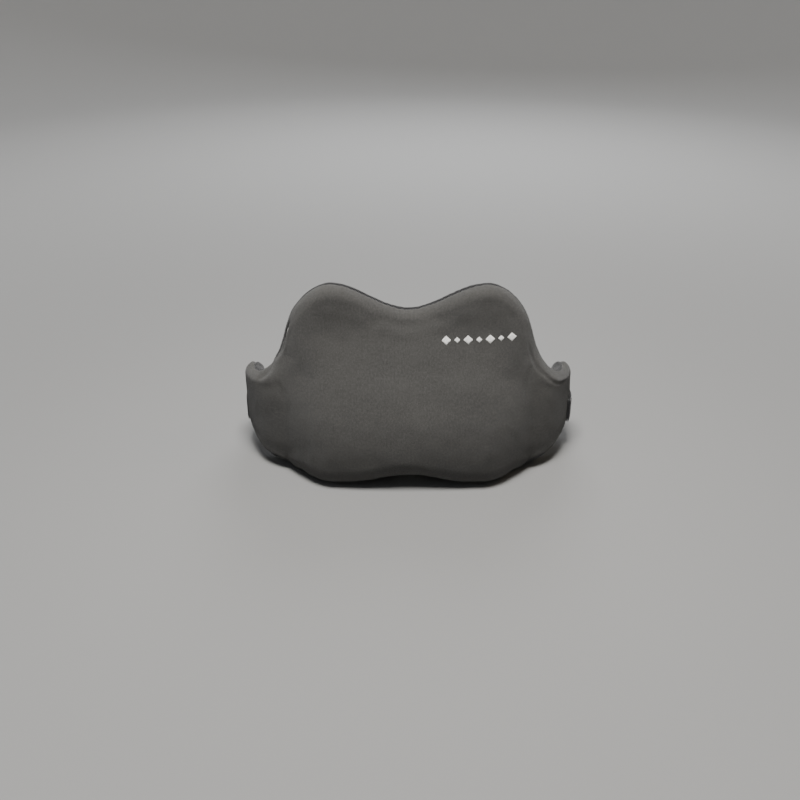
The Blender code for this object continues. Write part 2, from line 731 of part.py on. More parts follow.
def make_male(plastic):
    """The buckle's plug: a base with the web bar, two sprung prongs and a guide tongue, in one moulding."""
    middle, _, mouth, end, bar = strap_places()
    half, thick = BUCKLE_WIDTH / 2, BUCKLE_THICKNESS / 2
    face = mouth - BUCKLE_JOINT_GAP
    body_start = bar + BAR_THICKNESS / 2 + BUCKLE_SLOT
    male = add_box(
        "buckle_male",
        (body_start, middle - thick, STRAP_HEIGHT - half),
        (face, middle + thick, STRAP_HEIGHT + half),
        plastic,
    )
    room_y = thick - BUCKLE_WALL - BUCKLE_CLEARANCE
    room_z = half - BUCKLE_WALL - BUCKLE_CLEARANCE
    bury = face - BUCKLE_WALL
    for up in (1, -1):
        z = sorted((STRAP_HEIGHT + up * (room_z - PRONG_WIDTH), STRAP_HEIGHT + up * room_z))
        join_box(male, (bury, middle - room_y, z[0]), (face + PRONG_LENGTH, middle + room_y, z[1]))
    join_box(
        male,
        (bury, middle - room_y, STRAP_HEIGHT - TONGUE_WIDTH / 2),
        (face + PRONG_LENGTH - PRONG_WIDTH, middle + room_y, STRAP_HEIGHT + TONGUE_WIDTH / 2),
    )
    web_end(male, bar, body_start, middle)
    set_origin(male, (end, middle, STRAP_HEIGHT))
    return male


def make_straps(elastic):
    """The long elastic, from the left wing to the buckle's bar, and the length that runs back from it."""
    middle, _, _, _, bar = strap_places()
    radius = wrap_radius(STRAP_THICKNESS)
    route, centre = strap_route(STRAP_LIFT + STRAP_THICKNESS / 2, STRAP_ON_WING)
    left = [(-x, y) for x, y in route]
    drift = (STRAP_DRIFT - centre[0], middle + radius)
    run = [drift, *arc((bar, middle), radius, 90, -90, WRAP_STEPS)]
    ribbon("strap_elastic", left + run, STRAP_THICKNESS, elastic)
    glide = glide_places()[0]
    back = middle - radius
    loop = GLIDE_BAR / 2 + FIT + STRAP_THICKNESS / 2
    turn = arc((glide, back - loop), loop, 90, 270, WRAP_STEPS)
    stub = (glide + RETURN_STUB, back - 2 * loop)
    ribbon("strap_return", [(bar - FIT, back), *turn, stub], STRAP_THICKNESS, elastic)


def glide_places():
    """The adjuster's middle, its centre bar's height and its plate's underside."""
    middle, _, _, _, bar = strap_places()
    radius = wrap_radius(STRAP_THICKNESS)
    loop = GLIDE_BAR / 2 + FIT + STRAP_THICKNESS / 2
    return bar - GLIDE_OFFSET, middle - radius - loop, middle + radius + STRAP_THICKNESS / 2 + FIT


def make_glide(plastic):
    """A frame over the strap, with a centre bar under it that the returning end is sewn round."""
    x, bar, plate = glide_places()
    half, length = GLIDE_WIDTH / 2, GLIDE_LENGTH / 2
    inside = STRAP_WIDTH / 2 + STRAP_SIDE_ROOM
    post = GLIDE_POST / 2
    glide = add_box(
        "tri_glide",
        (x - length, plate, STRAP_HEIGHT - half),
        (x + length, plate + GLIDE_PLATE, STRAP_HEIGHT + half),
        plastic,
    )
    cut_box(
        glide,
        (x - length + GLIDE_FRAME, plate - GLIDE_PLATE, STRAP_HEIGHT - inside),
        (x + length - GLIDE_FRAME, plate + 2 * GLIDE_PLATE, STRAP_HEIGHT + inside),
    )
    for up in (1, -1):
        z = sorted((STRAP_HEIGHT + up * inside, STRAP_HEIGHT + up * half))
        join_box(glide, (x - post, bar - GLIDE_BAR / 2, z[0]), (x + post, plate + GLIDE_PLATE / 2, z[1]))
    into = (inside + half) / 2
    join_bar(glide, x, bar, GLIDE_BAR / 2, STRAP_HEIGHT - into, STRAP_HEIGHT + into)
    set_origin(glide, (x, bar, STRAP_HEIGHT))
    return glide


def make_label(finish):
    wide, high = LABEL_SIZE
    top = ARCH_RISE - LABEL_DROP
    add_box(
        "care_label",
        (-wide / 2, -LABEL_DEPTH - LABEL_THICKNESS / 2, top - high),
        (wide / 2, -LABEL_DEPTH + LABEL_THICKNESS / 2, top),
        finish,
    )


# ---------------------------------------------------------------- placing


def set_origin(obj, point):
    obj.data.transform(Matrix.Translation(-Vector(point)))
    obj.location = point


def stand_on_origin():
    """Moves everything so that the origin is the middle of the box's bottom."""
    corners = [
        obj.location + v.co for obj in bpy.data.objects if obj.type == "MESH" for v in obj.data.vertices
    ]
    low = Vector(min(c[i] for c in corners) for i in range(3))
    high = Vector(max(c[i] for c in corners) for i in range(3))
    shift = Vector(((low.x + high.x) / 2, (low.y + high.y) / 2, low.z))
    for obj in bpy.data.objects:
        obj.location -= shift


def main():
    clear_scene()
    foam = material("foam", (0.86, 0.80, 0.62), 0.95)
    jersey = material("liner_jersey", (0.80, 0.80, 0.78), 0.9)
    knit = material("cover_knit", (0.075, 0.075, 0.072), 0.92)
    mesh_cloth = material("cover_mesh", (0.012, 0.012, 0.013), 0.95)
    tape = material("zip_tape", (0.012, 0.012, 0.013), 0.85)
    coil = material("zip_coil", (0.015, 0.015, 0.016), 0.5)
    metal = material("zip_metal", (0.05, 0.05, 0.052), 0.35, 0.9)
    webbing = material("strap_webbing", (0.013, 0.013, 0.014), 0.8)
    elastic = material("strap_elastic", (0.014, 0.014, 0.015), 0.8)
    plastic = material("buckle_plastic", (0.015, 0.015, 0.016), 0.4)
    label = material("label_cloth", (0.82, 0.82, 0.80), 0.8)
    outline = Outline()
    make_foam(outline, foam)
    make_liner(outline, jersey)
    make_cover(outline, knit, mesh_cloth)
    make_zip(tape, coil, metal)
    make_pull(make_slider(metal), metal)
    make_tab(webbing)
    make_female(plastic)
    make_male(plastic)
    make_straps(elastic)
    make_glide(plastic)
    make_label(label)
    stand_on_origin()


main()
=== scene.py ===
"""The looks of a butterfly-shaped lumbar cushion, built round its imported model.

The cushion's form is drawn flat, in (s, z) with its thickness towards the front, and its wings are then
bent back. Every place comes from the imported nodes' boxes; the form's own sizes are those of the design.
"""

import math

import bmesh
import bpy
import numpy as np
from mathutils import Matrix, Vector, geometry
from mathutils.bvhtree import BVHTree
from mathutils.kdtree import KDTree


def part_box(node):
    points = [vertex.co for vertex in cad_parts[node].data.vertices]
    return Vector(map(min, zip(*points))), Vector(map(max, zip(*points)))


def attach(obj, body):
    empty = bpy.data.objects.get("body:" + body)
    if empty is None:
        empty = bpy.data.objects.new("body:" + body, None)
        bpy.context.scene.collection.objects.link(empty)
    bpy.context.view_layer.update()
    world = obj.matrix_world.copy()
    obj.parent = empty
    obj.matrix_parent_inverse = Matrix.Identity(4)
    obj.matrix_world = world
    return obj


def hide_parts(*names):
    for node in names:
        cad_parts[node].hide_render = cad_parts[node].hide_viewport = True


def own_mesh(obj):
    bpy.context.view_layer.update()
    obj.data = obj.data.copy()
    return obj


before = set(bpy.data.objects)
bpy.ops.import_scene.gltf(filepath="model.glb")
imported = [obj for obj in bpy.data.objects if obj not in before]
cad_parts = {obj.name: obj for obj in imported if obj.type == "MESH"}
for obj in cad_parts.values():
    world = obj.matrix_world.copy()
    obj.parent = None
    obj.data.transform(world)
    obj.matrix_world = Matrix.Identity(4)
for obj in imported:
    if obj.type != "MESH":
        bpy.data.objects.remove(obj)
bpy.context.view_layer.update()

# ---------------------------------------------------------------- the design's sizes, in metres

FIT = 0.0003
TAPE_RECESS = 0.0003

HUMP_HEIGHT = 0.252
HUMP_OFFSET = 0.097
VALLEY_DROP = 0.033
SHOULDER_DROP = 0.042
SHOULDER_FROM_END = 0.078
WAIST_FROM_END = 0.060
WAIST_RISE = 0.033
SADDLE_FROM_END = 0.038
SADDLE_RISE = 0.0045
WING_TOP = 0.119
WING_REACH = 0.228
WING_CORNER = 0.014
WING_LOW = 0.056
WING_HEEL = (0.022, 0.036)
WING_ROOT = (0.056, 0.010)
LOBE_OUTER = 0.128
LOBE_INNER = 0.080
ARCH_RISE = 0.012

RIM_THICKNESS = 0.0235
BULGE_DEPTH = 0.073
BULGE_HEIGHT = 0.045
BULGE_FADE_HEIGHT = 0.240
BULGE_FLAT = 0.095
BULGE_FADE = 0.205
BULGE_CROWN = 0.0035
HUMP_SWELL = 0.007
HUMP_SWELL_WIDTH = 0.045
FRONT_EDGE_SHARE = 0.45
FRONT_EDGE_MAX = 0.030
BACK_EDGE = 0.009
WING_BEND = 0.068
BEND_RADIUS = 0.035
BEND_START = WING_REACH - WING_BEND

COVER_THICKNESS = 0.0012
LINER_THICKNESS = 0.0008
LAYER_GAP = 0.0005
BACK_ROOM = 0.0014
LINER_OFFSET = COVER_THICKNESS + LAYER_GAP
FOAM_OFFSET = LINER_OFFSET + LINER_THICKNESS + LAYER_GAP
SEAM_GAP = 0.0003
SEAM_TOP = 0.5
SEAM_SIDE = -0.7
SEAM_BOTTOM = 0.15
LINER_SLIT = (0.200, 0.003)
LINER_SLIT_HEIGHT = 0.075

STRAP_THICKNESS = 0.0015
TAB_THICKNESS = 0.0020
STRAP_LIFT = 0.0004
STRAP_RUN = 0.018
STRAP_TURN_RADIUS = 0.012
TAB_ON_WING = 0.016
STRAP_ON_WING = 0.012
BAR_THICKNESS = 0.0030
GLIDE_BAR = 0.0020
RETURN_STUB = 0.012
STRAP_DRIFT = 0.060

# ---------------------------------------------------------------- places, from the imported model

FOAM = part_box("foam_core")
MIDDLE_X = (FOAM[0].x + FOAM[1].x) / 2
TAPE_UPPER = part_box("zipper_tape_upper")
TAPE_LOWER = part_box("zipper_tape_lower")
BACK_Y = TAPE_UPPER[1].y + TAPE_RECESS
ZIP_Z = (TAPE_UPPER[0].z + TAPE_LOWER[1].z) / 2
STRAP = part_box("strap_elastic")
STRAP_Z = (STRAP[0].z + STRAP[1].z) / 2
STRAP_WIDTH = STRAP[1].z - STRAP[0].z
PLACE = Vector((MIDDLE_X, BACK_Y, 0.0))


# ---------------------------------------------------------------- the cushion's form


def hermite(start, start_deg, end, end_deg, steps):
    """Points from start up to, not including, end, on a cubic that leaves and arrives at the angles."""
    p, q = np.array(start), np.array(end)
    pull = np.linalg.norm(q - p)
    a = pull * np.array([math.cos(math.radians(start_deg)), math.sin(math.radians(start_deg))])
    b = pull * np.array([math.cos(math.radians(end_deg)), math.sin(math.radians(end_deg))])
    t = (np.arange(steps) / steps)[:, None]
    return (
        (2 * t**3 - 3 * t**2 + 1) * p
        + (t**3 - 2 * t**2 + t) * a
        + (3 * t**2 - 2 * t**3) * q
        + (t**3 - t**2) * b
    )


def half_outline(steps):
    """The right half, from the valley round the wing to the arch."""
    end = WING_REACH
    low = (end, WING_LOW)
    root = (end - WING_ROOT[0], WING_ROOT[1])
    stations = [
        ((0.0, HUMP_HEIGHT - VALLEY_DROP), 0, 0),
        ((HUMP_OFFSET, HUMP_HEIGHT), 0, 0),
        ((end - SHOULDER_FROM_END, HUMP_HEIGHT - SHOULDER_DROP), -68, -68),
        ((end - WAIST_FROM_END, WING_TOP + WAIST_RISE), -70, -70),
        ((end - SADDLE_FROM_END, WING_TOP + SADDLE_RISE), -22, -22),
        ((end - WING_CORNER, WING_TOP), 0, 0),
        ((end, WING_TOP - WING_CORNER), -90, -90),
        (low, -90, -90),
        ((end - WING_HEEL[0], WING_HEEL[1]), -138, -138),
        (root, -152, -152),
        ((LOBE_OUTER, 0.0), -180, 180),
        ((LOBE_INNER, 0.0), 180, 180),
        ((0.0, ARCH_RISE), 180, 180),
    ]
    parts = [
        hermite(a[0], a[2], b[0], b[1], steps) for a, b in zip(stations, stations[1:])
    ]
    return np.vstack([*parts, [stations[-1][0]]])


def evenly(points, count):
    """count points along an open line, evenly spaced, with both of its ends."""
    gone = np.concatenate([[0], np.cumsum(np.linalg.norm(np.diff(points, axis=0), axis=1))])
    at = np.linspace(0, gone[-1], count)
    return np.stack([np.interp(at, gone, points[:, i]) for i in range(points.shape[1])], axis=1)


def fade(value, full, none):
    """1 up to full, 0 from none on, and a half cosine between them."""
    share = np.clip((value - full) / (none - full), 0.0, 1.0)
    return 0.5 + 0.5 * np.cos(np.pi * share)


def thickness(s, z):
    """From the back panel to the front, at points of the flat cushion."""
    across = fade(np.abs(s), BULGE_FLAT, BULGE_FADE)
    up = fade(z, BULGE_HEIGHT, BULGE_FADE_HEIGHT)
    crown = BULGE_CROWN * (s / BULGE_FLAT) ** 2
    swell = HUMP_SWELL * np.exp(-(((np.abs(s) - HUMP_OFFSET) / HUMP_SWELL_WIDTH) ** 2))
    swell = swell * fade(HUMP_HEIGHT - z, 0.0, HUMP_HEIGHT / 2)
    return RIM_THICKNESS + (BULGE_DEPTH - crown) * across * up + swell


def bend(flat):
    """Places (n, 3) of points (s, y, z) of the flat cushion with its wings bent back, in the row frame."""
    flat = np.asarray(flat, float)
    s, y, z = flat.T
    angle = np.maximum(np.abs(s) - BEND_START, 0) / BEND_RADIUS
    reach = BEND_RADIUS - y
    x = np.minimum(np.abs(s), BEND_START) + np.where(angle > 0, reach * np.sin(angle), 0)
    back = np.where(angle > 0, BEND_RADIUS - reach * np.cos(angle), y)
    return np.stack([np.copysign(x, s), back, z], axis=1) + np.array(PLACE)


def seam_place(points):
    """t of the seam between the cover's panels. It runs forward round the lower sides and wing ends."""
    s, z = points.T
    lower = fade(z, WING_LOW, WING_TOP + WAIST_RISE)
    outer = 1 - fade(np.abs(s), LOBE_OUTER, WING_REACH - WING_ROOT[0])
    low_seam = SEAM_BOTTOM + (SEAM_SIDE - SEAM_BOTTOM) * outer
    return SEAM_TOP + (low_seam - SEAM_TOP) * lower


class Outline:
    """The closed outline as evenly spaced points, with their inward normals and seam places."""

    def __init__(self, half_count):
        right = evenly(half_outline(60), half_count)
        self.points = np.vstack([right, right[-2:0:-1] * [-1, 1]])
        along = np.roll(self.points, -1, axis=0) - np.roll(self.points, 1, axis=0)
        along /= np.linalg.norm(along, axis=1)[:, None]
        self.inward = np.stack([along[:, 1], -along[:, 0]], axis=1)
        self.front = np.minimum(FRONT_EDGE_SHARE * thickness(*self.points.T), FRONT_EDGE_MAX)
        self.seam = seam_place(self.points)
        self.count = len(self.points)

    def rim(self, t, offset=0.0, room=0.0):
        """Flat points (columns, cuts, 3) of the rim's cross-section. t goes from -1, at the front face,
        over 0 and 1, at the ends of the side wall, to 2, at the back face."""
        front = self.front[:, None]
        turn = np.clip(-t, 0, 1) * np.pi / 2
        behind = np.clip(t - 1, 0, 1) * np.pi / 2
        inset = np.where(t <= 0, front - (front - offset) * np.cos(turn), offset)
        inset = np.where(t > 1, BACK_EDGE - (BACK_EDGE - offset) * np.cos(behind), inset)
        place = self.points[:, None, :] + self.inward[:, None, :] * inset[:, :, None]
        wall = -(thickness(place[..., 0], place[..., 1]) - front)
        side = wall + (-BACK_EDGE - wall) * np.clip(t, 0, 1)
        y = np.where(t <= 0, wall - (front - offset) * np.sin(turn), side)
        y = np.where(t > 1, -BACK_EDGE + (BACK_EDGE - offset - room) * np.sin(behind), y)
        return np.stack([place[..., 0], y, place[..., 1]], axis=2)


def inside(points, ring):
    """Which points lie in the closed ring."""
    found = np.zeros(len(points), bool)
    for (ax, ay), (bx, by) in zip(ring, np.roll(ring, -1, axis=0)):
        if ay != by:
            crosses = (points[:, 1] > ay) != (points[:, 1] > by)
            found ^= crosses & (points[:, 0] < ax + (points[:, 1] - ay) * (bx - ax) / (by - ay))
    return found


def clearance(points, others):
    """Each point's distance to the nearest of the others."""
    tree = KDTree(len(others))
    for i, other in enumerate(others):
        tree.insert((*other, 0.0), i)
    tree.balance()
    return np.array([tree.find((*p, 0.0))[2] for p in points])


def face_grid(ring, spacing, window=None, lines=()):
    """An even net of triangles inside a ring of (s, z) points: its points, the ring's first, and its
    faces. window is a rectangle to leave out, and lines are drawn in as edges."""
    low, high = ring.min(axis=0), ring.max(axis=0)
    rows = np.arange(low[1], high[1], spacing * math.sqrt(3) / 2)
    net = []
    for i, z in enumerate(rows):
        across = np.arange(spacing * (0.25 + 0.5 * (i % 2)), high[0], spacing)
        net += [(s, z) for s in np.concatenate([-across[::-1], across])]
    net = np.array(net)
    net = net[inside(net, ring)]
    verts, edges = [tuple(p) for p in ring], []
    fixed = [ring]
    if window is not None:
        (s0, z0), (s1, z1) = window
        corners = np.array([(s0, z0), (s1, z0), (s1, z1), (s0, z1)])
        sides = []
        for a, b in zip(corners, np.roll(corners, -1, axis=0)):
            steps = max(2, round(float(np.linalg.norm(b - a)) / spacing))
            sides.append(evenly(np.array([a, b]), steps + 1)[:-1])
        loop = np.vstack(sides)
        net = net[~inside(net, loop)]
        fixed.append(loop)
        start = len(verts)
        verts += [tuple(p) for p in loop]
        edges += [(start + i, start + (i + 1) % len(loop)) for i in range(len(loop))]
    for line in lines:
        fixed.append(line)
        start = len(verts)
        verts += [tuple(p) for p in line]
        edges += [(start + i, start + i + 1) for i in range(len(line) - 1)]
    net = net[clearance(net, np.vstack(fixed)) > 0.6 * spacing]
    verts += [tuple(p) for p in net]
    made = geometry.delaunay_2d_cdt(
        [Vector(v) for v in verts], edges, [list(range(len(ring)))], 1, 1e-7
    )
    points, faces = np.array([tuple(v) for v in made[0]]), [tuple(f) for f in made[2]]
    if window is not None:
        centres = np.array([points[list(f)].mean(axis=0) for f in faces])
        gone = inside(centres, loop)
        faces = [f for f, out in zip(faces, gone) if not out]
    return points, faces


def rim_faces(columns, cuts):
    """Quads of a closed band whose vertices are numbered column by column."""
    faces = []
    for k in range(columns):
        a, b = ((k - 1) % columns) * cuts, k * cuts
        faces += [(a + i, a + i + 1, b + i + 1, b + i) for i in range(cuts - 1)]
    return faces


class Sheet:
    """Part of the cushion's skin: its flat points, faces and unrolled cloth coordinates."""

    def __init__(self, flat, faces, cloth, ring):
        self.flat, self.faces, self.cloth, self.ring = flat, faces, cloth, ring


def make_sheet(outline, side, spacing, cuts, offset=0.0, room=0.0, stop=None, window=None, lines=()):
    """The front (side -1) or back (side 1) of the skin: a face and the rim as far as t = stop."""
    edge = -1.0 if side < 0 else 2.0
    stop = outline.seam if stop is None else stop
    share = np.linspace(0, 1, cuts)[None, :]
    t = edge + (np.broadcast_to(stop, outline.count)[:, None] - edge) * share
    rim = outline.rim(t, offset, room)
    ring = rim[:, 0, ::2]
    points, faces = face_grid(ring, spacing, window, lines)
    if side < 0:
        depth = offset - thickness(points[:, 0], points[:, 1])
    else:
        depth = np.full(len(points), -offset - room)
    face_flat = np.stack([points[:, 0], depth, points[:, 1]], axis=1)
    face_flat[: outline.count] = rim[:, 0]
    gone = np.concatenate(
        [np.zeros((outline.count, 1)), np.cumsum(np.linalg.norm(np.diff(rim, axis=1), axis=2), axis=1)],
        axis=1,
    )
    unrolled = ring[:, None, :] - outline.inward[:, None, :] * gone[:, :, None]
    base = len(face_flat)
    rest = cuts - 1
    number = np.empty((outline.count, cuts), int)
    number[:, 0] = np.arange(outline.count)
    number[:, 1:] = base + np.arange(outline.count * rest).reshape(outline.count, rest)
    flat = np.vstack([face_flat, rim[:, 1:].reshape(-1, 3)])
    cloth = np.vstack([points, unrolled[:, 1:].reshape(-1, 2)])
    lookup = number.ravel()
    band = [tuple(int(lookup[v]) for v in face) for face in rim_faces(outline.count, cuts)]
    faces = [f if side < 0 else f[::-1] for f in faces] + [f[::-1] if side < 0 else f for f in band]
    return Sheet(flat, faces, cloth, number[:, -1])


def mesh_object(name, verts, faces, look, smooth=True, cloth=None, sharp=None):
    mesh = bpy.data.meshes.new(name)
    mesh.from_pydata([tuple(v) for v in verts], [], faces)
    obj = bpy.data.objects.new(name, mesh)
    bpy.context.scene.collection.objects.link(obj)
    mesh.materials.append(look)
    if smooth:
        mesh.shade_smooth()
        if sharp:
            mesh.set_sharp_from_angle(angle=math.radians(sharp))
    if cloth is not None:
        layer = mesh.uv_layers.new(name="cloth")
        corner = np.zeros(len(mesh.loops), int)
        mesh.loops.foreach_get("vertex_index", corner)
        layer.data.foreach_set("uv", np.asarray(cloth, np.float32)[corner].ravel())
    return obj


def normals_of(verts, faces):
    """Each vertex's outward normal."""
    mesh = bpy.data.meshes.new("scratch")
    mesh.from_pydata([tuple(v) for v in verts], [], faces)
    found = np.zeros(len(mesh.vertices) * 3)
    mesh.vertices.foreach_get("normal", found)
    bpy.data.meshes.remove(mesh)
    return found.reshape(-1, 3)


def ripple(points, wavelength, seed, waves=7):
    """A smooth random field of about -1 to 1 with the given wavelength, the same on every run."""
    dice = np.random.default_rng(seed)
    total = np.zeros(len(points))
    for _ in range(waves):
        way = dice.normal(size=points.shape[1])
        way *= 2 * np.pi / (wavelength * dice.uniform(0.75, 1.35) * np.linalg.norm(way))
        total += np.sin(points @ way + dice.uniform(0, 2 * np.pi))
    return total / math.sqrt(waves)


def curve_through(stations, count):
    """An even line through a few points."""
    dense = []
    padded = [stations[0], *stations, stations[-1]]
    for i in range(1, len(padded) - 2):
        p0, p1, p2, p3 = (np.array(p, float) for p in padded[i - 1 : i + 3])
        for t in np.linspace(0, 1, 30, endpoint=False):
            dense.append(
                0.5
                * (
                    2 * p1
                    + (p2 - p0) * t
                    + (2 * p0 - 5 * p1 + 4 * p2 - p3) * t**2
                    + (3 * p1 - p0 - 3 * p2 + p3) * t**3
                )
            )
    dense.append(np.array(stations[-1], float))
    return evenly(np.array(dense), count)


# ---------------------------------------------------------------- materials


class Look:
    """A Principled material whose nodes are added by short calls."""

    def __init__(self, name, roughness, metallic=0.0, sheen=0.0, specular=0.5, coat=0.0):
        self.material = bpy.data.materials.new(name)
        self.material.use_nodes = True
        self.tree = self.material.node_tree
        self.shader = self.tree.nodes["Principled BSDF"]
        self.shader.inputs["Roughness"].default_value = roughness
        self.shader.inputs["Metallic"].default_value = metallic
        self.shader.inputs["Sheen Weight"].default_value = sheen
        self.shader.inputs["Sheen Roughness"].default_value = 0.45
        self.shader.inputs["Specular IOR Level"].default_value = specular
        self.shader.inputs["Coat Weight"].default_value = coat

    def node(self, kind, inputs, out=0, **settings):
        made = self.tree.nodes.new("ShaderNode" + kind)
        for key, value in settings.items():
            setattr(made, key, value)
        for key, value in inputs.items():
            if isinstance(value, bpy.types.NodeSocket):
                self.tree.links.new(value, made.inputs[key])
            else:
                made.inputs[key].default_value = value
        return made.outputs[out]

    def math(self, operation, a, b=0.0):
        return self.node("Math", {0: a, 1: b}, operation=operation)

    def cloth(self, scale=(1, 1, 1), turn=0.0):
        """The piece's unrolled coordinates, in metres, scaled."""
        uv = self.node("UVMap", {}, uv_map="cloth")
        return self.node("Mapping", {0: uv, 2: (0, 0, turn), 3: scale})

    def solid(self, scale=(1, 1, 1)):
        """Places in the piece's own metres, scaled."""
        return self.node("Mapping", {0: self.node("TexCoord", {}, out=3), 3: scale})

    def noise(self, place, scale, detail=2.0, roughness=0.5):
        return self.node("TexNoise", {0: place, "Scale": scale, "Detail": detail, "Roughness": roughness})

    def ramp(self, value, stops):
        """A colour ramp with (place, grey or colour) stops."""
        made = self.tree.nodes.new("ShaderNodeValToRGB")
        self.tree.links.new(value, made.inputs[0])
        elements = made.color_ramp.elements
        while len(elements) < len(stops):
            elements.new(1.0)
        for element, (place, colour) in zip(elements, stops):
            element.position = place
            element.color = (*colour, 1) if isinstance(colour, tuple) else (colour, colour, colour, 1)
        return made.outputs[0]

    def mix(self, share, a, b, blend="MIX"):
        values = {0: share, 6: (*a, 1) if isinstance(a, tuple) else a, 7: (*b, 1) if isinstance(b, tuple) else b}
        return self.node("Mix", values, out=2, data_type="RGBA", blend_type=blend)

    def bump(self, height, distance, strength=1.0, under=None):
        inputs = {"Height": height, "Distance": distance, "Strength": strength}
        if under is not None:
            inputs["Normal"] = under
        return self.node("Bump", inputs)

    def done(self, colour, normal=None, roughness=None):
        shader = self.shader.inputs
        if isinstance(colour, tuple):
            shader["Base Color"].default_value = (*colour, 1)
        else:
            self.tree.links.new(colour, shader["Base Color"])
        if normal is not None:
            self.tree.links.new(normal, shader["Normal"])
        if roughness is not None:
            self.tree.links.new(roughness, shader["Roughness"])
        return self.material

    def knit(self, wale, course, turn=0.0):
        """Height of a stockinette knit: columns of V-shaped stitches, wale wide and course high."""
        across = self.node("SeparateXYZ", {0: self.cloth((1 / wale, 1 / course, 1), turn)})
        along = across.node.outputs[1]
        lean = self.math("ABSOLUTE", self.math("SUBTRACT", self.math("FRACT", across), 0.5))
        phase = self.math("ADD", along, self.math("MULTIPLY", lean, 1.5))
        wave = self.math("SINE", self.math("MULTIPLY", phase, 2 * math.pi))
        leg = self.math("SINE", self.math("MULTIPLY", lean, 2 * math.pi))
        return self.math("ADD", self.math("MULTIPLY", wave, 0.35), leg)

    def holes(self, pitch, radius):
        """1 on the cloth and 0 in holes of that radius, set in close-packed rows."""
        rows = []
        for shift in (0.0, 0.5):
            scaled = self.cloth((1 / pitch, 1 / (pitch * math.sqrt(3)), 1))
            moved = self.node("VectorMath", {0: scaled, 1: (shift, shift, 0)}, operation="ADD")
            cell = self.node("VectorMath", {0: moved}, operation="FRACTION")
            centred = self.node("VectorMath", {0: cell, 1: (0.5, 0.5, 0)}, operation="SUBTRACT")
            sized = self.node("VectorMath", {0: centred, 1: (1, math.sqrt(3), 0)}, operation="MULTIPLY")
            rows.append(self.node("VectorMath", {0: sized}, out=1, operation="LENGTH"))
        near = self.math("MINIMUM", *rows)
        edge = radius / pitch
        return self.node("MapRange", {0: near, 1: edge * 0.7, 2: edge * 1.25}, interpolation_type="SMOOTHSTEP")


def knit_look():
    """Dark warm-grey fine knit, with a melange, faint stretch streaks, fuzz, a little lint and painted shade in the
    hollows between the stitches.
    """
    look = Look("cover_knit", 0.94, sheen=0.14, specular=0.14)
    look.shader.inputs["Sheen Tint"].default_value = (0.75, 0.76, 0.78, 1)
    broad = look.noise(look.cloth(), 14.0, 3.0)
    streak = look.noise(look.cloth((1, 0.06, 1)), 420.0, 2.0)
    heather = look.noise(look.cloth((1, 0.7, 1)), 420.0, 3.0, 0.65)
    melange = look.noise(look.cloth((1, 0.45, 1)), 1500.0, 2.0, 0.6)
    base = look.mix(look.ramp(broad, [(0.3, 0.0), (0.7, 1.0)]), (0.064, 0.063, 0.060), (0.083, 0.081, 0.076))
    base = look.mix(look.ramp(streak, [(0.3, 0.0), (0.72, 0.16)]), base, (0.115, 0.112, 0.106))
    base = look.mix(look.ramp(heather, [(0.38, 0.0), (0.66, 0.5)]), base, (0.125, 0.122, 0.115))
    base = look.mix(look.ramp(melange, [(0.35, 0.0), (0.75, 0.6)]), base, (0.035, 0.035, 0.036))
    stitches = look.knit(0.00105, 0.0009)
    # Painted shade: the hollows between the stitches are darkened towards near-black.
    base = look.mix(look.ramp(stitches, [(0.0, 0.55), (0.6, 0.0)]), base, (0.024, 0.024, 0.025))
    lint = look.node("TexVoronoi", {0: look.cloth((1, 0.35, 1)), "Scale": 55.0, "Randomness": 1.0})
    rare = look.noise(look.cloth(), 31.0, 1.0)
    speck = look.math("MULTIPLY", look.math("LESS_THAN", lint, 0.012), look.math("GREATER_THAN", rare, 0.56))
    base = look.mix(look.math("MULTIPLY", speck, 0.55), base, (0.55, 0.54, 0.50))
    soft = look.bump(look.noise(look.cloth((1, 0.5, 1)), 900.0, 2.0), 0.0002, 0.35)
    return look.done(base, look.bump(stitches, 0.00022, 0.8, soft))


def mesh_look():
    """Black spacer mesh: a smooth knit with close rows of small holes, with painted shade in the yarn's hollows and
    the holes painted near-black for the shade inside them.
    """
    look = Look("cover_mesh", 0.85, sheen=0.25, specular=0.2)
    cloth = look.holes(0.0026, 0.00085)
    yarn = look.knit(0.0009, 0.0008)
    # Painted shade: the yarn is darker in the hollows between its stitches.
    shade = look.mix(look.ramp(yarn, [(0.0, 0.0), (0.8, 1.0)]), (0.010, 0.010, 0.011), (0.026, 0.026, 0.028))
    # Painted shade: the holes are painted near-black for the shade inside them.
    base = look.mix(cloth, (0.003, 0.003, 0.003), shade)
    fine = look.bump(yarn, 0.00012, 0.5)
    return look.done(base, look.bump(cloth, 0.0009, 0.9, fine))


def woven_look(name, colour, light, pitch, sheen=0.2, slant=0.7):
    """A narrow weave: fine slanting ribs both ways, with painted shade between the ribs and painted light on them."""
    look = Look(name, 0.8, sheen=sheen, specular=0.25)
    one = look.node("TexWave", {0: look.cloth((1, 1, 1), slant), "Scale": 0.31 / pitch, "Distortion": 0.6})
    two = look.node("TexWave", {0: look.cloth((1, 1, 1), -slant), "Scale": 0.31 / pitch, "Distortion": 0.6})
    weave = look.math("MAXIMUM", one, two)
    wear = look.noise(look.cloth(), 60.0, 3.0)
    # Painted shade and light: darker between the ribs of the weave and paler on them.
    base = look.mix(look.ramp(weave, [(0.2, 0.0), (0.9, 1.0)]), colour, light)
    base = look.mix(look.ramp(wear, [(0.45, 0.0), (0.8, 0.35)]), base, tuple(min(1, c * 1.6) for c in light))
    return look.done(base, look.bump(weave, pitch * 0.25, 0.8))


def thread_look(name, colour, light):
    look = Look(name, 0.55, sheen=0.3)
    twist = look.noise(look.solid((1, 1, 1)), 3000.0, 1.0)
    return look.done(look.mix(twist, colour, light), look.bump(twist, 0.00008, 0.5))


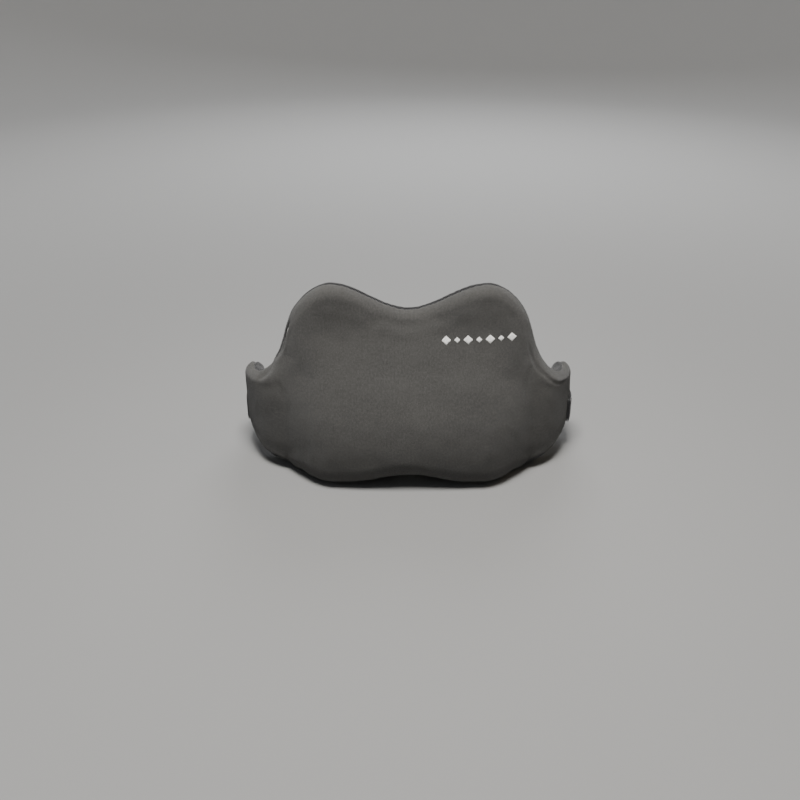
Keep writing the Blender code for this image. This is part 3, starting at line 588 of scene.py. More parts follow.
def plastic_look():
    """Black moulded acetal with a fine spark texture and paler rubbed places."""
    look = Look("buckle_plastic", 0.42, specular=0.45)
    grain = look.noise(look.solid(), 2600.0, 2.0)
    rubbed = look.noise(look.solid(), 130.0, 4.0)
    base = look.mix(look.ramp(rubbed, [(0.5, 0.0), (0.78, 1.0)]), (0.014, 0.014, 0.015), (0.030, 0.030, 0.032))
    rough = look.ramp(rubbed, [(0.3, 0.46), (0.75, 0.33)])
    return look.done(base, look.bump(grain, 0.00006, 0.6), rough)


def metal_look():
    """Black lacquer over die-cast metal, worn through in small places."""
    look = Look("zip_metal", 0.32, metallic=0.85, coat=0.25)
    worn = look.noise(look.solid(), 900.0, 4.0, 0.6)
    base = look.mix(look.ramp(worn, [(0.6, 0.0), (0.72, 1.0)]), (0.028, 0.028, 0.030), (0.32, 0.31, 0.30))
    return look.done(base, look.bump(worn, 0.00005, 0.3), look.ramp(worn, [(0.3, 0.26), (0.7, 0.42)]))


def nylon_look():
    look = Look("zip_coil", 0.38, specular=0.5)
    drawn = look.noise(look.solid((1, 4, 4)), 1200.0, 2.0)
    return look.done(look.mix(drawn, (0.012, 0.012, 0.013), (0.026, 0.026, 0.028)), look.bump(drawn, 0.00003, 0.4))


def foam_look():
    """Cream memory foam, with open cells and a few larger pores, and painted shade in the grooves between the cells
    and inside the pores.
    """
    look = Look("foam", 0.95, specular=0.2)
    cells = look.node("TexVoronoi", {0: look.solid(), "Scale": 900.0}, feature="DISTANCE_TO_EDGE")
    pores = look.node("TexVoronoi", {0: look.solid(), "Scale": 170.0})
    # Painted shade: darker along the grooves between the cells.
    base = look.mix(look.ramp(cells, [(0.0, 0.0), (0.25, 1.0)]), (0.66, 0.58, 0.40), (0.86, 0.80, 0.62))
    # Painted shade: the pores are darkened inside.
    base = look.mix(look.ramp(pores, [(0.05, 1.0), (0.16, 0.0)]), base, (0.42, 0.36, 0.24))
    return look.done(base, look.bump(cells, 0.0004, 0.7, look.bump(pores, 0.0006, 0.4)))


def jersey_look():
    look = Look("liner_jersey", 0.9, sheen=0.3, specular=0.2)
    stitches = look.knit(0.0009, 0.0007)
    # Painted shade and light: darker in the hollows between the stitches and paler on the raised stitches.
    base = look.mix(look.ramp(stitches, [(0.0, 0.0), (0.8, 1.0)]), (0.60, 0.60, 0.58), (0.84, 0.84, 0.82))
    return look.done(base, look.bump(stitches, 0.00015, 0.7))


# ---------------------------------------------------------------- cushion: foam, liner and cover

# Folds of the cover, as (s, z) lines with their depth and width: the deep one beside the left waist, the
# long thin one beside the right waist, and small ones that run out of them.
FOLDS = [
    ([(-0.1500, 0.2080), (-0.1555, 0.1930), (-0.1600, 0.1740), (-0.1685, 0.1500)], 0.0042, 0.0030),
    ([(-0.1685, 0.1500), (-0.1740, 0.1330), (-0.1830, 0.1180)], 0.0020, 0.0050),
    ([(0.1500, 0.1860), (0.1560, 0.1640), (0.1650, 0.1400), (0.1780, 0.1180), (0.1980, 0.1100)], 0.0019, 0.0022),
    ([(0.1560, 0.1520), (0.1500, 0.1300), (0.1480, 0.1050)], 0.0008, 0.0070),
    ([(-0.1640, 0.1300), (-0.1590, 0.1080), (-0.1600, 0.0850)], 0.0008, 0.0080),
]
FOLD_STEP = 0.0016
SIDE_COUNT = 380
FACE_SPACING = 0.0028
SIM_SPACING = 0.0075
SIM_FRAMES = 16
SIM_CAP = 0.0030
RELAX_IN = 0.5
RELAX_OUT = -0.52
STAND = 0.0010


def fold_lines():
    lines = []
    for stations, depth, width in FOLDS:
        length = sum(math.dist(a, b) for a, b in zip(stations, stations[1:]))
        lines.append((curve_through(stations, round(length / FOLD_STEP)), depth, width))
    return lines


def near_line(points, line):
    """Each point's distance to a line, and its share of the way along."""
    best = np.full(len(points), 1e9)
    share = np.zeros(len(points))
    for i, (a, b) in enumerate(zip(line, line[1:])):
        way = b - a
        t = np.clip(((points - a) @ way) / (way @ way), 0, 1)
        gap = np.linalg.norm(points - a - t[:, None] * way, axis=1)
        closer = gap < best
        best[closer] = gap[closer]
        share[closer] = (i + t[closer]) / (len(line) - 1)
    return best, share


def swell_of_cloth(outline):
    """Lets the cover fill out under a little pressure and gives each place's movement, as the sheet's
    flat points and their moves. The seam and the back panel hold still, and the padding under the cover
    stops it moving in."""
    front = make_sheet(outline, -1, SIM_SPACING, 6)
    back = make_sheet(outline, 1, SIM_SPACING, 6)
    verts = np.vstack([front.flat, back.flat])
    shift = len(front.flat)
    faces = list(front.faces)
    joined = dict(zip((back.ring + shift).tolist(), front.ring.tolist()))
    for face in back.faces:
        faces.append(tuple(joined.get(v + shift, v + shift) for v in face))
    rest = bend(verts)
    cloth = mesh_object("swell", rest, faces, knit.copy())
    hold = cloth.vertex_groups.new(name="hold")
    flat_back = (verts[:, 1] > -BACK_EDGE / 2) | (np.arange(len(verts)) >= shift)
    hold.add([int(i) for i in np.nonzero(flat_back)[0]], 1.0, "REPLACE")
    hold.add([int(i) for i in front.ring], 1.0, "REPLACE")
    sim = cloth.modifiers.new("cloth", "CLOTH").settings
    sim.quality = 5
    sim.use_pressure = True
    sim.uniform_pressure_force = 4.0
    sim.effector_weights.gravity = 0.0
    sim.vertex_group_mass = "hold"
    sim.pin_stiffness = 5.0
    sim.shrink_min = -0.012
    sim.tension_stiffness = 18.0
    sim.compression_stiffness = 18.0
    sim.bending_stiffness = 0.8
    scene = bpy.context.scene
    for number in range(1, SIM_FRAMES + 1):
        scene.frame_set(number)
    graph = bpy.context.evaluated_depsgraph_get()
    moved = np.zeros(len(verts) * 3)
    cloth.evaluated_get(graph).data.vertices.foreach_get("co", moved)
    scene.frame_set(1)
    bpy.data.objects.remove(cloth, do_unlink=True)
    move = moved.reshape(-1, 3) - rest
    out = normals_of(rest, faces)
    inward = np.minimum((move * out).sum(axis=1), 0.0)
    move = (move - out * inward[:, None])[:shift]
    size = np.linalg.norm(move, axis=1)
    move *= (np.minimum(size, SIM_CAP) / np.maximum(size, 1e-9))[:, None]
    return rest[:shift], move


def spread(places, values, targets, neighbours=5):
    """Values at the targets, from the nearest places' values."""
    tree = KDTree(len(places))
    for i, place in enumerate(places):
        tree.insert(place, i)
    tree.balance()
    found = np.zeros((len(targets), values.shape[1]))
    for i, target in enumerate(targets):
        near = tree.find_n(target, neighbours)
        weight = np.array([1 / (n[2] + 0.001) ** 2 for n in near])
        found[i] = weight @ values[[n[1] for n in near]] / weight.sum()
    return found


def relax(places, faces, hold, rounds):
    """Evens out places without shrinking their form, less where hold is near 1."""
    pairs = np.array([(face[i - 1], face[i]) for face in faces for i in range(len(face))])
    pairs = np.vstack([pairs, pairs[:, ::-1]])
    count = np.bincount(pairs[:, 0], minlength=len(places))[:, None]
    free = (1 - hold)[:, None]
    for _ in range(rounds):
        for strength in (RELAX_IN, RELAX_OUT):
            total = np.stack(
                [np.bincount(pairs[:, 0], places[pairs[:, 1], i], len(places)) for i in range(3)], axis=1
            )
            places = places + free * strength * (total / np.maximum(count, 1) - places)
    return places


def form_height(flat, bent, side):
    """What the padding under the cover follows too: long soft waves, and the folds' hollows."""
    height = 0.00045 * ripple(bent, 0.055, 11)
    if side < 0:
        for line, depth, width in fold_lines():
            away, share = near_line(flat[:, [0, 2]], line)
            full = np.sin(np.pi * np.clip(share, 0, 1)) ** 0.6
            height = height - depth * full * np.exp(-((away / (width * 0.5)) ** 2))
    return height


def seam_distance(sheet, bent):
    tree = KDTree(len(sheet.ring))
    for i, v in enumerate(sheet.ring):
        tree.insert(bent[v], i)
    tree.balance()
    found = [tree.find(p) for p in bent]
    return np.array([f[2] for f in found]), np.array([f[1] for f in found])


def fill_out(sheet, side, swell):
    """The sheet bent and filled out, with its normals, and each place's distance to the seam."""
    bent = bend(sheet.flat)
    if swell is not None and side < 0:
        bent = bent + spread(*swell, bent)
    gap, column = seam_distance(sheet, bent)
    if side < 0:
        bent = relax(bent, sheet.faces, np.exp(-((gap / 0.012) ** 2)), 60)
    return bent, normals_of(bent, sheet.faces), gap, column


def dress(sheet, outline, side, filled, seam_normals):
    """The sheet's final places: drawn in at the seam, folded, and flat where it stands."""
    bent, out, gap, column = filled
    share = np.exp(-((gap / 0.005) ** 2))[:, None]
    out = out * (1 - share) + seam_normals[column] * share
    out /= np.linalg.norm(out, axis=1)[:, None]
    step = 1.15 / outline.count
    along = column * step
    pucker = np.sin(along * 2 * np.pi / 0.0075 + 2.2 * np.sin(along * 41)) * (0.6 + 0.4 * np.sin(along * 23))
    height = -0.0011 * np.exp(-((gap / 0.0016) ** 2))
    height += 0.0005 * np.exp(-(((gap - 0.0042) / 0.0022) ** 2))
    height += 0.00022 * pucker * np.exp(-((gap - 0.002) / 0.006) ** 2)
    place = sheet.flat[:, [0, 2]]
    height += form_height(sheet.flat, bent, side)
    height += 0.00018 * ripple(bent, 0.017, 23)
    if side < 0:
        for line, depth, width in fold_lines():
            away, share = near_line(place, line)
            full = np.sin(np.pi * np.clip(share, 0, 1)) ** 0.6
            height += 0.35 * depth * full * np.exp(-(((away - width) / (width * 0.8)) ** 2))
    else:
        turned = fade(np.abs(np.abs(place[:, 0]) - (BEND_START + 0.018)), 0.004, 0.026)
        upright = np.sin(np.abs(place[:, 0]) * 2 * np.pi / 0.0105 + 1.2 * np.sin(place[:, 1] * 55))
        height += 0.00055 * turned * upright * (np.abs(place[:, 0]) > BEND_START - 0.008)
        flat = fade(np.abs(place[:, 1] - ZIP_Z), 0.016, 0.030) * (np.abs(place[:, 0]) < 0.150)
        height *= 1 - flat
    moved = bent + out * height[:, None]
    moved[:, 2] = np.maximum(moved[:, 2], STAND)
    return moved


def make_cover(outline):
    """The two panels of the cover, each with its thickness. The back one has the zip's window."""
    swell = swell_of_cloth(outline)
    lines = [line for line, _, _ in fold_lines()]
    gap = SEAM_GAP / 2
    front_stop = outline.seam - gap / 0.015
    back_stop = outline.seam + gap / 0.015
    front = make_sheet(outline, -1, FACE_SPACING, 17, stop=front_stop, lines=lines)
    half_x = (TAPE_UPPER[1].x - TAPE_UPPER[0].x) / 2 + FIT
    window = ((-half_x, TAPE_LOWER[0].z - FIT), (half_x, TAPE_UPPER[1].z + FIT))
    back = make_sheet(outline, 1, FACE_SPACING, 15, stop=back_stop, window=window)
    made = []
    filled = {side: fill_out(sheet, side, swell) for sheet, side in ((front, -1), (back, 1))}
    seam_normals = filled[-1][1][front.ring] + filled[1][1][back.ring]
    for name, sheet, side, look in (
        ("cover_front_knit", front, -1, knit),
        ("cover_back_mesh", back, 1, mesh_cloth),
    ):
        places = dress(sheet, outline, side, filled[side], seam_normals)
        panel = mesh_object(name, places, sheet.faces, look, cloth=sheet.cloth)
        wall = panel.modifiers.new("thickness", "SOLIDIFY")
        wall.thickness = COVER_THICKNESS * 0.8
        wall.offset = -1
        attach(panel, "cushion")
        made.append(panel)
    front, back = made
    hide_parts("cover_front")
    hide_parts("cover_back")
    return front, back


def closed_skin(outline, offset, room, spacing, cuts):
    """A closed form inside the cover: its bent places, faces and cloth coordinates."""
    front = make_sheet(outline, -1, spacing, cuts, offset, room)
    back = make_sheet(outline, 1, spacing, cuts, offset, room)
    shift = len(front.flat)
    joined = dict(zip((back.ring + shift).tolist(), front.ring.tolist()))
    faces = list(front.faces)
    for face in back.faces:
        faces.append(tuple(joined.get(v + shift, v + shift) for v in face))
    used = sorted({v for face in faces for v in face})
    number = {v: i for i, v in enumerate(used)}
    flat = np.vstack([front.flat, back.flat])[used]
    cloth = np.vstack([front.cloth, back.cloth])[used]
    faces = [tuple(number[v] for v in face) for face in faces]
    bent = bend(flat)
    ahead = np.array(used) < shift
    height = np.where(ahead, form_height(flat, bent, -1), 0.0)
    return bent + normals_of(bent, faces) * height[:, None], faces, cloth


def make_foam(outline):
    """The foam block, with faint ripples over a soft surface."""
    places, faces, cloth = closed_skin(outline, FOAM_OFFSET, BACK_ROOM, 0.0045, 8)
    out = normals_of(places, faces)
    places = places - out * (0.00035 + 0.00025 * ripple(places, 0.012, 5))[:, None]
    foam = mesh_object("foam_block", places, faces, foam_finish, cloth=cloth)
    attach(foam, "cushion")
    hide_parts("foam_core")
    return foam


def make_liner(outline):
    """The stretch bag round the foam, open along the slit that the foam goes in through."""
    places, faces, cloth = closed_skin(outline, LINER_OFFSET, BACK_ROOM, 0.0060, 7)
    behind = PLACE.y - LINER_OFFSET - BACK_ROOM
    slit_x, slit_z = LINER_SLIT[0] / 2, LINER_SLIT_HEIGHT
    centres = np.array([places[list(face)].mean(axis=0) for face in faces])
    in_slit = (np.abs(centres[:, 0] - PLACE.x) < slit_x) & (np.abs(centres[:, 2] - slit_z) < 0.004)
    faces = [f for f, open_ in zip(faces, in_slit & (np.abs(centres[:, 1] - behind) < 0.0005)) if not open_]
    liner = mesh_object("liner_bag", places, faces, jersey, cloth=cloth)
    wall = liner.modifiers.new("thickness", "SOLIDIFY")
    wall.thickness = LINER_THICKNESS * 0.7
    wall.offset = -1
    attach(liner, "cushion")
    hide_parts("inner_liner")
    return liner


# ---------------------------------------------------------------- threads and stitches


def tube(path, radius, sides=6, taper=True):
    """Vertices and faces of a closed tube along a path, with rounded-off ends."""
    path = np.asarray(path, float)
    along = np.gradient(path, axis=0)
    along /= np.linalg.norm(along, axis=1)[:, None]
    guide = np.array([0.0, 0.0, 1.0]) if abs(along[0][2]) < 0.9 else np.array([1.0, 0.0, 0.0])
    verts, faces = [], []
    count = len(path)
    for i, (point, way) in enumerate(zip(path, along)):
        side = np.cross(way, guide)
        side /= np.linalg.norm(side)
        up = np.cross(side, way)
        guide = up
        size = radius * (0.45 if taper and i in (0, count - 1) else 1.0)
        for k in range(sides):
            a = 2 * math.pi * k / sides
            verts.append(point + size * (math.cos(a) * side + math.sin(a) * up))
    for i in range(count - 1):
        for k in range(sides):
            n = (k + 1) % sides
            faces.append((i * sides + k, i * sides + n, (i + 1) * sides + n, (i + 1) * sides + k))
    faces.append(tuple(range(sides))[::-1])
    faces.append(tuple(range((count - 1) * sides, count * sides)))
    return verts, faces


class Bundle:
    """Many small closed bodies that make one piece."""

    def __init__(self):
        self.verts, self.faces = [], []

    def add(self, verts, faces):
        base = len(self.verts)
        self.verts += [tuple(v) for v in verts]
        self.faces += [tuple(base + v for v in face) for face in faces]

    def piece(self, name, look, body, sharp=None):
        obj = mesh_object(name, self.verts, self.faces, look, sharp=sharp)
        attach(obj, body)
        return obj


def stitch(bundle, start, end, out, radius=0.00022, rise=0.00045):
    """One stitch: a short thread that dips into the cloth at both ends."""
    start, end, out = (np.array(v, float) for v in (start, end, out))
    path = []
    for t in (0, 0.15, 0.5, 0.85, 1):
        height = rise * (1 - (2 * t - 1) ** 4) - radius * 0.8
        path.append(start + (end - start) * t + out * height)
    bundle.add(*tube(path, radius, 5))


def stitch_row(bundle, points, outs, length=0.0026, gap=0.0009, **sizes):
    """Stitches along a line of points on a surface."""
    points, outs = np.asarray(points, float), np.asarray(outs, float)
    gone = np.concatenate([[0], np.cumsum(np.linalg.norm(np.diff(points, axis=0), axis=1))])
    at = 0.0
    while at + length < gone[-1]:
        ends = [np.array([np.interp(x, gone, points[:, i]) for i in range(3)]) for x in (at, at + length)]
        out = np.array([np.interp(at + length / 2, gone, outs[:, i]) for i in range(3)])
        stitch(bundle, ends[0], ends[1], out / np.linalg.norm(out), **sizes)
        at += length + gap


def surface_of(obj):
    graph = bpy.context.evaluated_depsgraph_get()
    return BVHTree.FromObject(obj, graph)


def seam_stitches(outline, back):
    """The topstitching on the back panel, a few millimetres inside the seam all the way round."""
    skin = surface_of(back)
    t = outline.seam
    base = bend(outline.rim(t[:, None])[:, 0])
    inner = bend(outline.rim((t + 0.02)[:, None])[:, 0])
    way = inner - base
    way /= np.linalg.norm(way, axis=1)[:, None]
    points, outs = [], []
    for place in base + way * 0.0035:
        found = skin.find_nearest(place)
        points.append(found[0])
        outs.append(found[1])
    bundle = Bundle()
    stitch_row(bundle, [*points, points[0]], [*outs, outs[0]])
    return bundle.piece("seam_topstitch", black_thread, "cushion")


# ---------------------------------------------------------------- zip

COIL_PITCH = 0.00125
COIL_THREAD = 0.00028


def tape_piece(node, name, up):
    """A woven tape with a slightly thicker edge cord towards the coil."""
    low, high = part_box(node)
    steps_x, steps_z = 90, 12
    near = low.z if up > 0 else high.z
    far = high.z if up > 0 else low.z
    verts, cloth = [], []
    for layer in (0, 1):
        for i in range(steps_x + 1):
            x = low.x + (high.x - low.x) * i / steps_x
            for j in range(steps_z + 1):
                share = j / steps_z
                z = near + (far - near) * share
                wave = 0.00006 * math.sin(x * 260 + share * 5)
                cord = 0.00018 * math.exp(-(((share - 0.05) / 0.06) ** 2))
                y = (low.y + wave) if layer == 0 else (high.y - 0.0001 + cord + wave)
                verts.append((x, y, z))
                cloth.append((x, z))
    row, sheet = steps_z + 1, (steps_x + 1) * (steps_z + 1)
    faces = []
    for i in range(steps_x):
        for j in range(steps_z):
            a = i * row + j
            loop = (a, a + 1, a + row + 1, a + row)
            faces.append(loop if up > 0 else loop[::-1])
            faces.append(tuple(v + sheet for v in (loop[::-1] if up > 0 else loop)))
    edge = [i * row for i in range(steps_x + 1)]
    edge += [steps_x * row + j for j in range(1, row)]
    edge += [i * row + steps_z for i in range(steps_x - 1, -1, -1)]
    edge += list(range(steps_z - 1, 0, -1))
    for a, b in zip(edge, edge[1:] + edge[:1]):
        loop = (a, b, b + sheet, a + sheet)
        faces.append(loop if up > 0 else loop[::-1])
    obj = mesh_object(name, verts, faces, tape_cloth, cloth=cloth, sharp=50)
    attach(obj, "cushion")
    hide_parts(node)


def coil_piece(node, name, up):
    """A nylon coil: one thread wound in flattened turns whose heads mesh with the other coil's."""
    low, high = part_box(node)
    depth = high.y - low.y
    middle_y = (low.y + high.y) / 2
    head = (low.z if up > 0 else high.z) - up * 0.0006
    heel = high.z if up > 0 else low.z
    reach = abs(heel - head) / 2
    middle_z = (head + heel) / 2
    phase = 0.0 if up > 0 else 0.5
    turns = int((high.x - low.x - 0.0012) / COIL_PITCH)
    steps = 12
    path = []
    for i in range(turns * steps + 1):
        a = 2 * math.pi * (i / steps)
        x = low.x + 0.0006 + COIL_PITCH * (i / steps + phase * 0.9)
        square = 1 / max(abs(math.cos(a)), abs(math.sin(a))) ** 0.45
        z = middle_z - up * (reach - COIL_THREAD) * math.cos(a) * min(square, 1.12)
        y = middle_y + (depth / 2 - COIL_THREAD) * math.sin(a) * min(square, 1.12)
        path.append((min(x, high.x - COIL_THREAD), y, z))
    bundle = Bundle()
    bundle.add(*tube(path, COIL_THREAD, 5, taper=False))
    core = [(x, middle_y, heel - up * 0.0009) for x in np.linspace(low.x + 0.0004, high.x - 0.0004, 60)]
    bundle.add(*tube(core, 0.00034, 6))
    obj = bundle.piece(name, nylon, "cushion")
    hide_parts(node)


def zip_stitches():
    """Two rows along each tape: one that holds the coil and one that holds the tape to the panel."""
    bundle = Bundle()
    out = (0, 1, 0)
    for low, high, up in ((*TAPE_UPPER, 1), (*TAPE_LOWER, -1)):
        near, far = (low.z, high.z) if up > 0 else (high.z, low.z)
        for z, length in ((near + up * 0.0020, 0.0011), (far - up * 0.0016, 0.0024)):
            xs = np.linspace(low.x + 0.002, high.x - 0.002, 120)
            points = [(x, high.y + (0.0004 if length < 0.002 else 0.0), z) for x in xs]
            stitch_row(bundle, points, [out] * len(points), length, length * 0.35, radius=0.00016, rise=0.00030)
    for x in (TAPE_UPPER[0].x + 0.0022, TAPE_UPPER[1].x - 0.0022):
        zs = np.linspace(TAPE_LOWER[0].z + 0.001, TAPE_UPPER[1].z - 0.001, 30)
        points = [(x, TAPE_UPPER[1].y + 0.0002, z) for z in zs]
        stitch_row(bundle, points, [out] * len(points), 0.0016, 0.0003, radius=0.00022, rise=0.0005)
    return bundle.piece("zip_stitches", black_thread, "cushion")


def soften(obj, width, segments=3):
    """Rounds the edges of a CAD node that stays, by modifiers only."""
    join = obj.modifiers.new("weld", "WELD")
    join.merge_threshold = 0.00001
    flat = obj.modifiers.new("flat", "DECIMATE")
    flat.decimate_type = "DISSOLVE"
    flat.angle_limit = math.radians(1)
    edge = obj.modifiers.new("edges", "BEVEL")
    edge.width = width
    edge.segments = segments
    edge.limit_method = "ANGLE"
    edge.angle_limit = math.radians(35)
    edge.use_clamp_overlap = True
    edge.harden_normals = True


def paint(obj, look):
    obj.data.materials.clear()
    obj.data.materials.append(look)


# ---------------------------------------------------------------- straps


def arc(centre, radius, start_deg, end_deg, steps):
    angles = np.radians(np.linspace(start_deg, end_deg, steps + 1))
    return [(centre[0] + radius * math.cos(a), centre[1] + radius * math.sin(a)) for a in angles]


def strap_route(lift, on_wing, steps=18):
    """The right end's path in plan at a height over the wing's outer face, and the centre of its turn."""
    end = WING_REACH - FRONT_EDGE_SHARE * RIM_THICKNESS
    half = STRAP_WIDTH / 2
    points = []
    for s in np.linspace(end - on_wing, end, steps):
        depth = max(float(thickness(s, STRAP_Z + side * half)) for side in (-1, 0, 1))
        points.append(bend([(s, -depth - lift, 0)])[0][:2])
    angle = (end - BEND_START) / BEND_RADIUS
    heading = np.array([math.cos(angle), math.sin(angle)])
    left = np.array([-heading[1], heading[0]])
    base = bend([(end, -RIM_THICKNESS, 0)])[0][:2] + heading * STRAP_RUN
    centre = base + left * STRAP_TURN_RADIUS
    turn = arc(centre, STRAP_TURN_RADIUS + lift, math.degrees(angle) - 90, 90, steps)
    return [tuple(p) for p in points] + turn, centre


def mirrored(points):
    return [(2 * PLACE.x - x, y) for x, y in points]


def even_path(points, step):
    points = np.array(points, float)
    length = np.linalg.norm(np.diff(points, axis=0), axis=1).sum()
    return evenly(points, max(4, round(length / step)))


def band(name, path, thick, ribs, look, slot, rib_height=0.00016, step=0.0016):
    """A woven band standing on edge along a path in plan, with ribs along it and rounded selvedges."""
    path = even_path(path, step)
    along = np.gradient(path, axis=0)
    along /= np.linalg.norm(along, axis=1)[:, None]
    normal = np.stack([-along[:, 1], along[:, 0]], axis=1)
    gone = np.concatenate([[0], np.cumsum(np.linalg.norm(np.diff(path, axis=0), axis=1))])
    across = ribs * 4
    profile = []
    for side in (1, -1):
        shares = np.linspace(-1, 1, across + 1)[:: side]
        for share in shares[:-1]:
            selvedge = (1 - abs(share) ** 14) ** 0.5
            rib = rib_height * (math.cos(share * ribs * math.pi) - 1) / 2
            profile.append((share * STRAP_WIDTH / 2, side * (thick / 2 * selvedge + rib * selvedge), side))
    count = len(profile)
    verts, cloth = [], []
    for i, point in enumerate(path):
        sway = 0.00010 * math.sin(gone[i] * 95) * min(1, i / 8, (len(path) - 1 - i) / 8)
        for z, off, side in profile:
            place = point + normal[i] * (off + sway)
            verts.append((place[0], place[1], STRAP_Z + z))
            cloth.append((gone[i], z + side * STRAP_WIDTH))
    faces = []
    for i in range(len(path) - 1):
        for k in range(count):
            n = (k + 1) % count
            faces.append((i * count + k, (i + 1) * count + k, (i + 1) * count + n, i * count + n))
    faces.append(tuple(range(count)))
    last = (len(path) - 1) * count
    faces.append(tuple(range(last, last + count))[::-1])
    obj = mesh_object(name, verts, faces, look, cloth=cloth, sharp=60)
    return obj


def make_straps():
    """The folded tab, the long elastic in two lengths and the part that returns to the adjuster."""
    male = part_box("buckle_male")
    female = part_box("buckle_female")
    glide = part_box("tri_glide")
    middle = (female[0].y + female[1].y) / 2
    tab_bar = female[1].x - BAR_THICKNESS / 2
    male_bar = male[0].x + BAR_THICKNESS / 2
    wrap = BAR_THICKNESS / 2 + FIT
    radius = wrap + TAB_THICKNESS / 2
    inner = strap_route(STRAP_LIFT + TAB_THICKNESS / 2, TAB_ON_WING)[0]
    outer = strap_route(2 * STRAP_LIFT + 1.5 * TAB_THICKNESS, TAB_ON_WING)[0]
    loop = outer + arc((tab_bar, middle), radius, 90, 270, 16) + inner[::-1]
    tab = band("tab_webbing", loop, TAB_THICKNESS * 0.92, 11, webbing, "strap_webbing")
    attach(tab, "cushion")
    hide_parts("strap_tab")

    radius = wrap + STRAP_THICKNESS / 2
    route, centre = strap_route(STRAP_LIFT + STRAP_THICKNESS / 2, STRAP_ON_WING)
    left = mirrored(route)
    drift = (2 * PLACE.x - centre[0] + STRAP_DRIFT, middle + radius)
    start = left[-1]
    ease = [
        (start[0] + (drift[0] - start[0]) * t, start[1] + (drift[1] - start[1]) * (3 * t**2 - 2 * t**3))
        for t in np.linspace(0, 1, 12)[1:]
    ]
    thick = STRAP_THICKNESS * 0.92
    root = band("elastic_root", left + ease, thick, 9, elastic, "strap_elastic")
    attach(root, "cushion")
    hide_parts("strap_elastic")
    run = [drift, *arc((male_bar, middle), radius, 90, -90, 16)]
    long_run = band("elastic_run", run, thick, 9, elastic, "strap_elastic")
    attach(long_run, "cushion")
    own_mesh(long_run)

    glide_x = (glide[0].x + glide[1].x) / 2
    fold = GLIDE_BAR / 2 + FIT + STRAP_THICKNESS / 2
    back = middle - radius
    path = [(male_bar - FIT, back), (glide_x, back)]
    returned = band("elastic_return", path, thick, 9, elastic, "strap_elastic")
    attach(returned, "buckle_plug")
    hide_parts("strap_return")
    path = [*arc((glide_x, back - fold), fold, 90, 270, 14), (glide_x + RETURN_STUB, back - 2 * fold)]
    wrap_piece = band("elastic_wrap", path, thick, 9, elastic, "strap_elastic", step=0.0006)
    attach(wrap_piece, "adjuster")
    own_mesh(returned)


def box_tack(bundle, path, first, last, lift, out_sign):
    """A stitched box with a cross in it, through a band, between two shares of its path in plan."""
    path = even_path(path, 0.0005)
    along = np.gradient(path, axis=0)
    along /= np.linalg.norm(along, axis=1)[:, None]
    outs = out_sign * np.stack([-along[:, 1], along[:, 0]], axis=1)
    gone = np.concatenate([[0], np.cumsum(np.linalg.norm(np.diff(path, axis=0), axis=1))])
    half = STRAP_WIDTH / 2 - 0.004

    def place(at, z):
        point = np.array([np.interp(at, gone, path[:, i]) for i in (0, 1)])
        out = np.array([np.interp(at, gone, outs[:, i]) for i in (0, 1)])
        spot = point + out * lift
        return (spot[0], spot[1], STRAP_Z + z), (out[0], out[1], 0.0)

    corners = [(first, -half), (last, -half), (last, half), (first, half), (first, -half)]
    lines = list(zip(corners, corners[1:])) + [(corners[0], corners[2]), (corners[1], corners[3])]
    for (a, z0), (b, z1) in lines:
        found = [place(a + (b - a) * t, z0 + (z1 - z0) * t) for t in np.linspace(0, 1, 24)]
        spots, ways = [f[0] for f in found], [f[1] for f in found]
        stitch_row(bundle, spots, ways, 0.0019, 0.0006, radius=0.0002, rise=0.0004)


def strap_tacks():
    bundle = Bundle()
    outer = strap_route(2 * STRAP_LIFT + 1.5 * TAB_THICKNESS, TAB_ON_WING)[0]
    box_tack(bundle, outer, 0.0025, 0.0150, TAB_THICKNESS / 2, -1)
    route = strap_route(STRAP_LIFT + STRAP_THICKNESS / 2, STRAP_ON_WING)[0]
    box_tack(bundle, mirrored(route), 0.0025, 0.0120, STRAP_THICKNESS / 2, 1)
    return bundle.piece("strap_tacks", grey_thread, "cushion")


# ---------------------------------------------------------------- buckle and adjuster


def slab(outline, low, high):
    """Vertices and faces of a plate with a closed outline in (x, z), between two heights in y."""
    count = len(outline)
    verts = [(x, low, z) for x, z in outline] + [(x, high, z) for x, z in outline]
    faces = [tuple(range(count)), tuple(range(count, 2 * count))[::-1]]
    faces += [(i, i + count, (i + 1) % count + count, (i + 1) % count) for i in range(count)]
    return verts, faces


def rounded(corners, radii, steps=6):
    """A closed outline with its corners rounded off."""
    made = []
    count = len(corners)
    for i, (corner, radius) in enumerate(zip(corners, radii)):
        p, a, b = (np.array(c, float) for c in (corner, corners[i - 1], corners[(i + 1) % count]))
        to_a, to_b = (a - p) / np.linalg.norm(a - p), (b - p) / np.linalg.norm(b - p)
        if radius <= 0:
            made.append(tuple(p))
            continue
        start, end = p + to_a * radius, p + to_b * radius
        for t in np.linspace(0, 1, steps + 1):
            made.append(tuple((1 - t) ** 2 * start + 2 * t * (1 - t) * p + t**2 * end))
    return made


def solid(name, verts, faces, look):
    obj = mesh_object(name, verts, faces, look, smooth=False)
    work = bmesh.new()
    work.from_mesh(obj.data)
    bmesh.ops.recalc_face_normals(work, faces=work.faces)
    work.to_mesh(obj.data)
    work.free()
    return obj


def combine(obj, others, operation):
    for other in others:
        step = obj.modifiers.new(operation.lower(), "BOOLEAN")
        step.operation = operation
        step.object = other
        step.solver = "EXACT"
    graph = bpy.context.evaluated_depsgraph_get()
    graph.update()
    made = bpy.data.meshes.new_from_object(obj.evaluated_get(graph))
    obj.modifiers.clear()
    obj.data = made
    for other in others:
        bpy.data.objects.remove(other, do_unlink=True)


